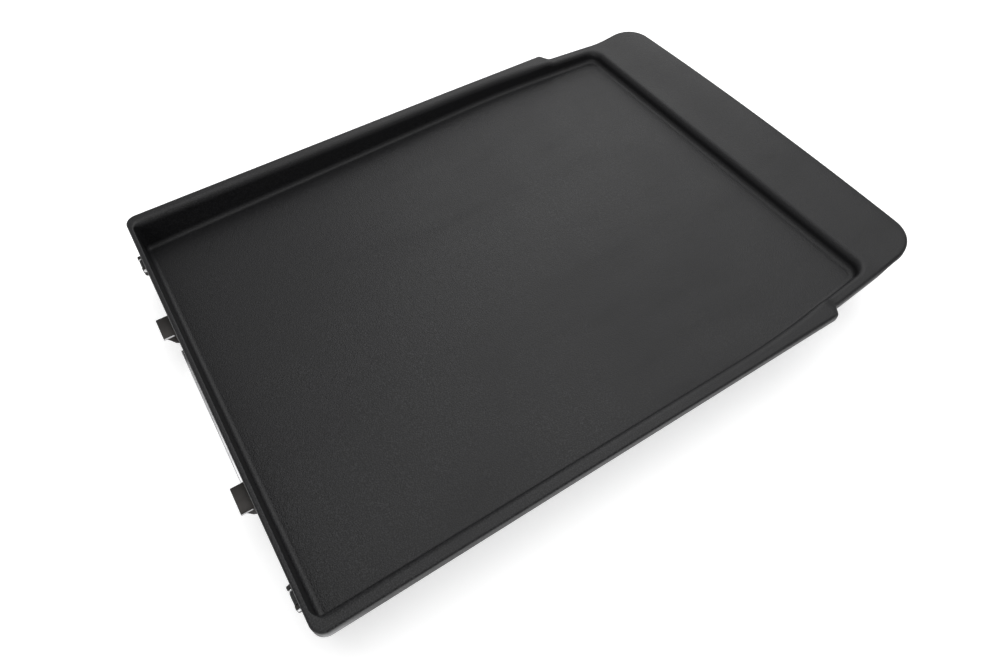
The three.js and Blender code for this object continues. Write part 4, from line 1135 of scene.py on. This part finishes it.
def foot(node):
    """A moulded foot with two grip rings underneath and a deep pocket for its screw."""
    low, high, middle = box_of(node)
    radius = (high.x - low.x) / 2
    tread = radius - 1.5 * MM
    pocket = 3.7 * MM
    bore = SCREW_HOLE
    tall = high.z - low.z
    groove = 0.5 * MM
    profile = [(pocket, 0.3 * MM), (pocket + 0.3 * MM, 0)]
    first = pocket + 1.1 * MM
    profile += [(first, 0), (first + 0.15 * MM, groove)]
    profile += [(first + 0.55 * MM, groove), (first + 0.7 * MM, 0)]
    profile += [(tread - 0.9 * MM, 0), (tread - 0.75 * MM, groove * 0.5), (tread - 0.5 * MM, 0)]
    for a in quarter(4)[1:]:
        profile.append((tread - 0.5 * MM + 0.6 * MM * math.sin(a), 0.6 * MM * (1 - math.cos(a))))
    profile += [(radius - 0.35 * MM, tall - 0.9 * MM), (radius, tall - 0.6 * MM)]
    profile += [(radius, tall - 0.2 * MM), (radius - 0.2 * MM, tall), (bore, tall)]
    profile += [(bore, 3 * MM), (pocket, 3 * MM), (pocket, 0.3 * MM)]
    bm = bmesh.new()
    spun(bm, profile, 48, Matrix.Translation((middle.x, middle.y, low.z)))
    piece(node + "_moulding", bm, foot_rubber, [node], sharp=35)


for side in ("left", "right"):
    docking_hook(side)
    roller_bracket(side)
    guide_roller(side)
    roller_pin(side)
    roller_washer(side)
    contact_pin(f"power_pin_{side}")
    contact_pin(f"signal_pin_{side}")
    foot(f"foot_dock_{side}")
    foot(f"foot_handle_{side}")
contact_pin("earth_pin")
terminal_guard()
terminal_block()
heat_shield()

# ---------------------------------------------------------------- finishes of the pieces kept

KEPT = {
    "heating_element": heater_sheath,
    "heater_clamp": zinc_steel,
    "clamp_screw": zinc_steel,
    "temperature_sensor": nickel,
    "sensor_lead": glass_sleeve,
    "insulation_mat": mineral_fibre,
}
for node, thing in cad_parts.items():
    for start, material in KEPT.items():
        if node.startswith(start):
            thing.data.materials.clear()
            thing.data.materials.append(material)

# ---------------------------------------------------------------- floor, light and camera

FLOOR_HALF = 4.0
FLOOR_GLOW = 0.4
WORLD_LIGHT = 0.42
FOCAL_LENGTH = 25.91
SENSOR_WIDTH = 36.0


def studio():
    bm = bmesh.new()
    bmesh.ops.create_grid(bm, x_segments=2, y_segments=2, size=FLOOR_HALF)
    mesh = bpy.data.meshes.new("studio_floor")
    bm.to_mesh(mesh)
    bm.free()
    ground = bpy.data.objects.new("studio_floor", mesh)
    bpy.context.scene.collection.objects.link(ground)
    paper = bpy.data.materials.new("studio_paper")
    paper.use_nodes = True
    shader = next(n for n in paper.node_tree.nodes if n.type == "BSDF_PRINCIPLED")
    shader.inputs["Base Color"].default_value = (0.93, 0.93, 0.93, 1.0)
    shader.inputs["Roughness"].default_value = 0.9
    shader.inputs["Specular IOR Level"].default_value = 0.1
    shader.inputs["Emission Color"].default_value = (1.0, 1.0, 1.0, 1.0)
    shader.inputs["Emission Strength"].default_value = FLOOR_GLOW
    mesh.materials.append(paper)


LIGHTS_AIM = Vector((0, 0, 0.03))


def softbox(name, place, size, power):
    light = bpy.data.lights.new(name, "AREA")
    light.shape = "RECTANGLE"
    light.size, light.size_y = size
    light.energy = power
    thing = bpy.data.objects.new(name, light)
    thing.location = place
    thing.rotation_euler = (LIGHTS_AIM - Vector(place)).to_track_quat("-Z", "Y").to_euler()
    bpy.context.scene.collection.objects.link(thing)


def camera():
    data = bpy.data.cameras.new("camera")
    data.lens = FOCAL_LENGTH
    data.sensor_width = SENSOR_WIDTH
    data.clip_start = 0.01
    eye = bpy.data.objects.new("camera", data)
    right = Vector((0.84421, -0.53573, -0.01747))
    up = Vector((0.44281, 0.67869, 0.58591))
    back = Vector((-0.30204, -0.50237, 0.81019))
    place = Vector((DOCK + 32.2 * MM, -257.64 * MM, RIM + 324.6 * MM))
    eye.matrix_world = Matrix.Translation(place) @ Matrix((right, up, back)).transposed().to_4x4()
    bpy.context.scene.collection.objects.link(eye)
    bpy.context.scene.camera = eye


studio()
softbox("key", (0.9, 1.1, 1.0), (1.4, 1.2), 7)
softbox("top", (0.35, 0.2, 1.6), (2.2, 2.2), 22)
softbox("fill", (-1.2, -0.9, 0.9), (1.0, 1.0), 6)
world = bpy.data.worlds.new("studio")
world.use_nodes = True
sky = world.node_tree.nodes["Background"]
sky.inputs["Color"].default_value = (1, 1, 1, 1)
sky.inputs["Strength"].default_value = WORLD_LIGHT
bpy.context.scene.world = world
bpy.context.scene.view_settings.view_transform = "Standard"
camera()
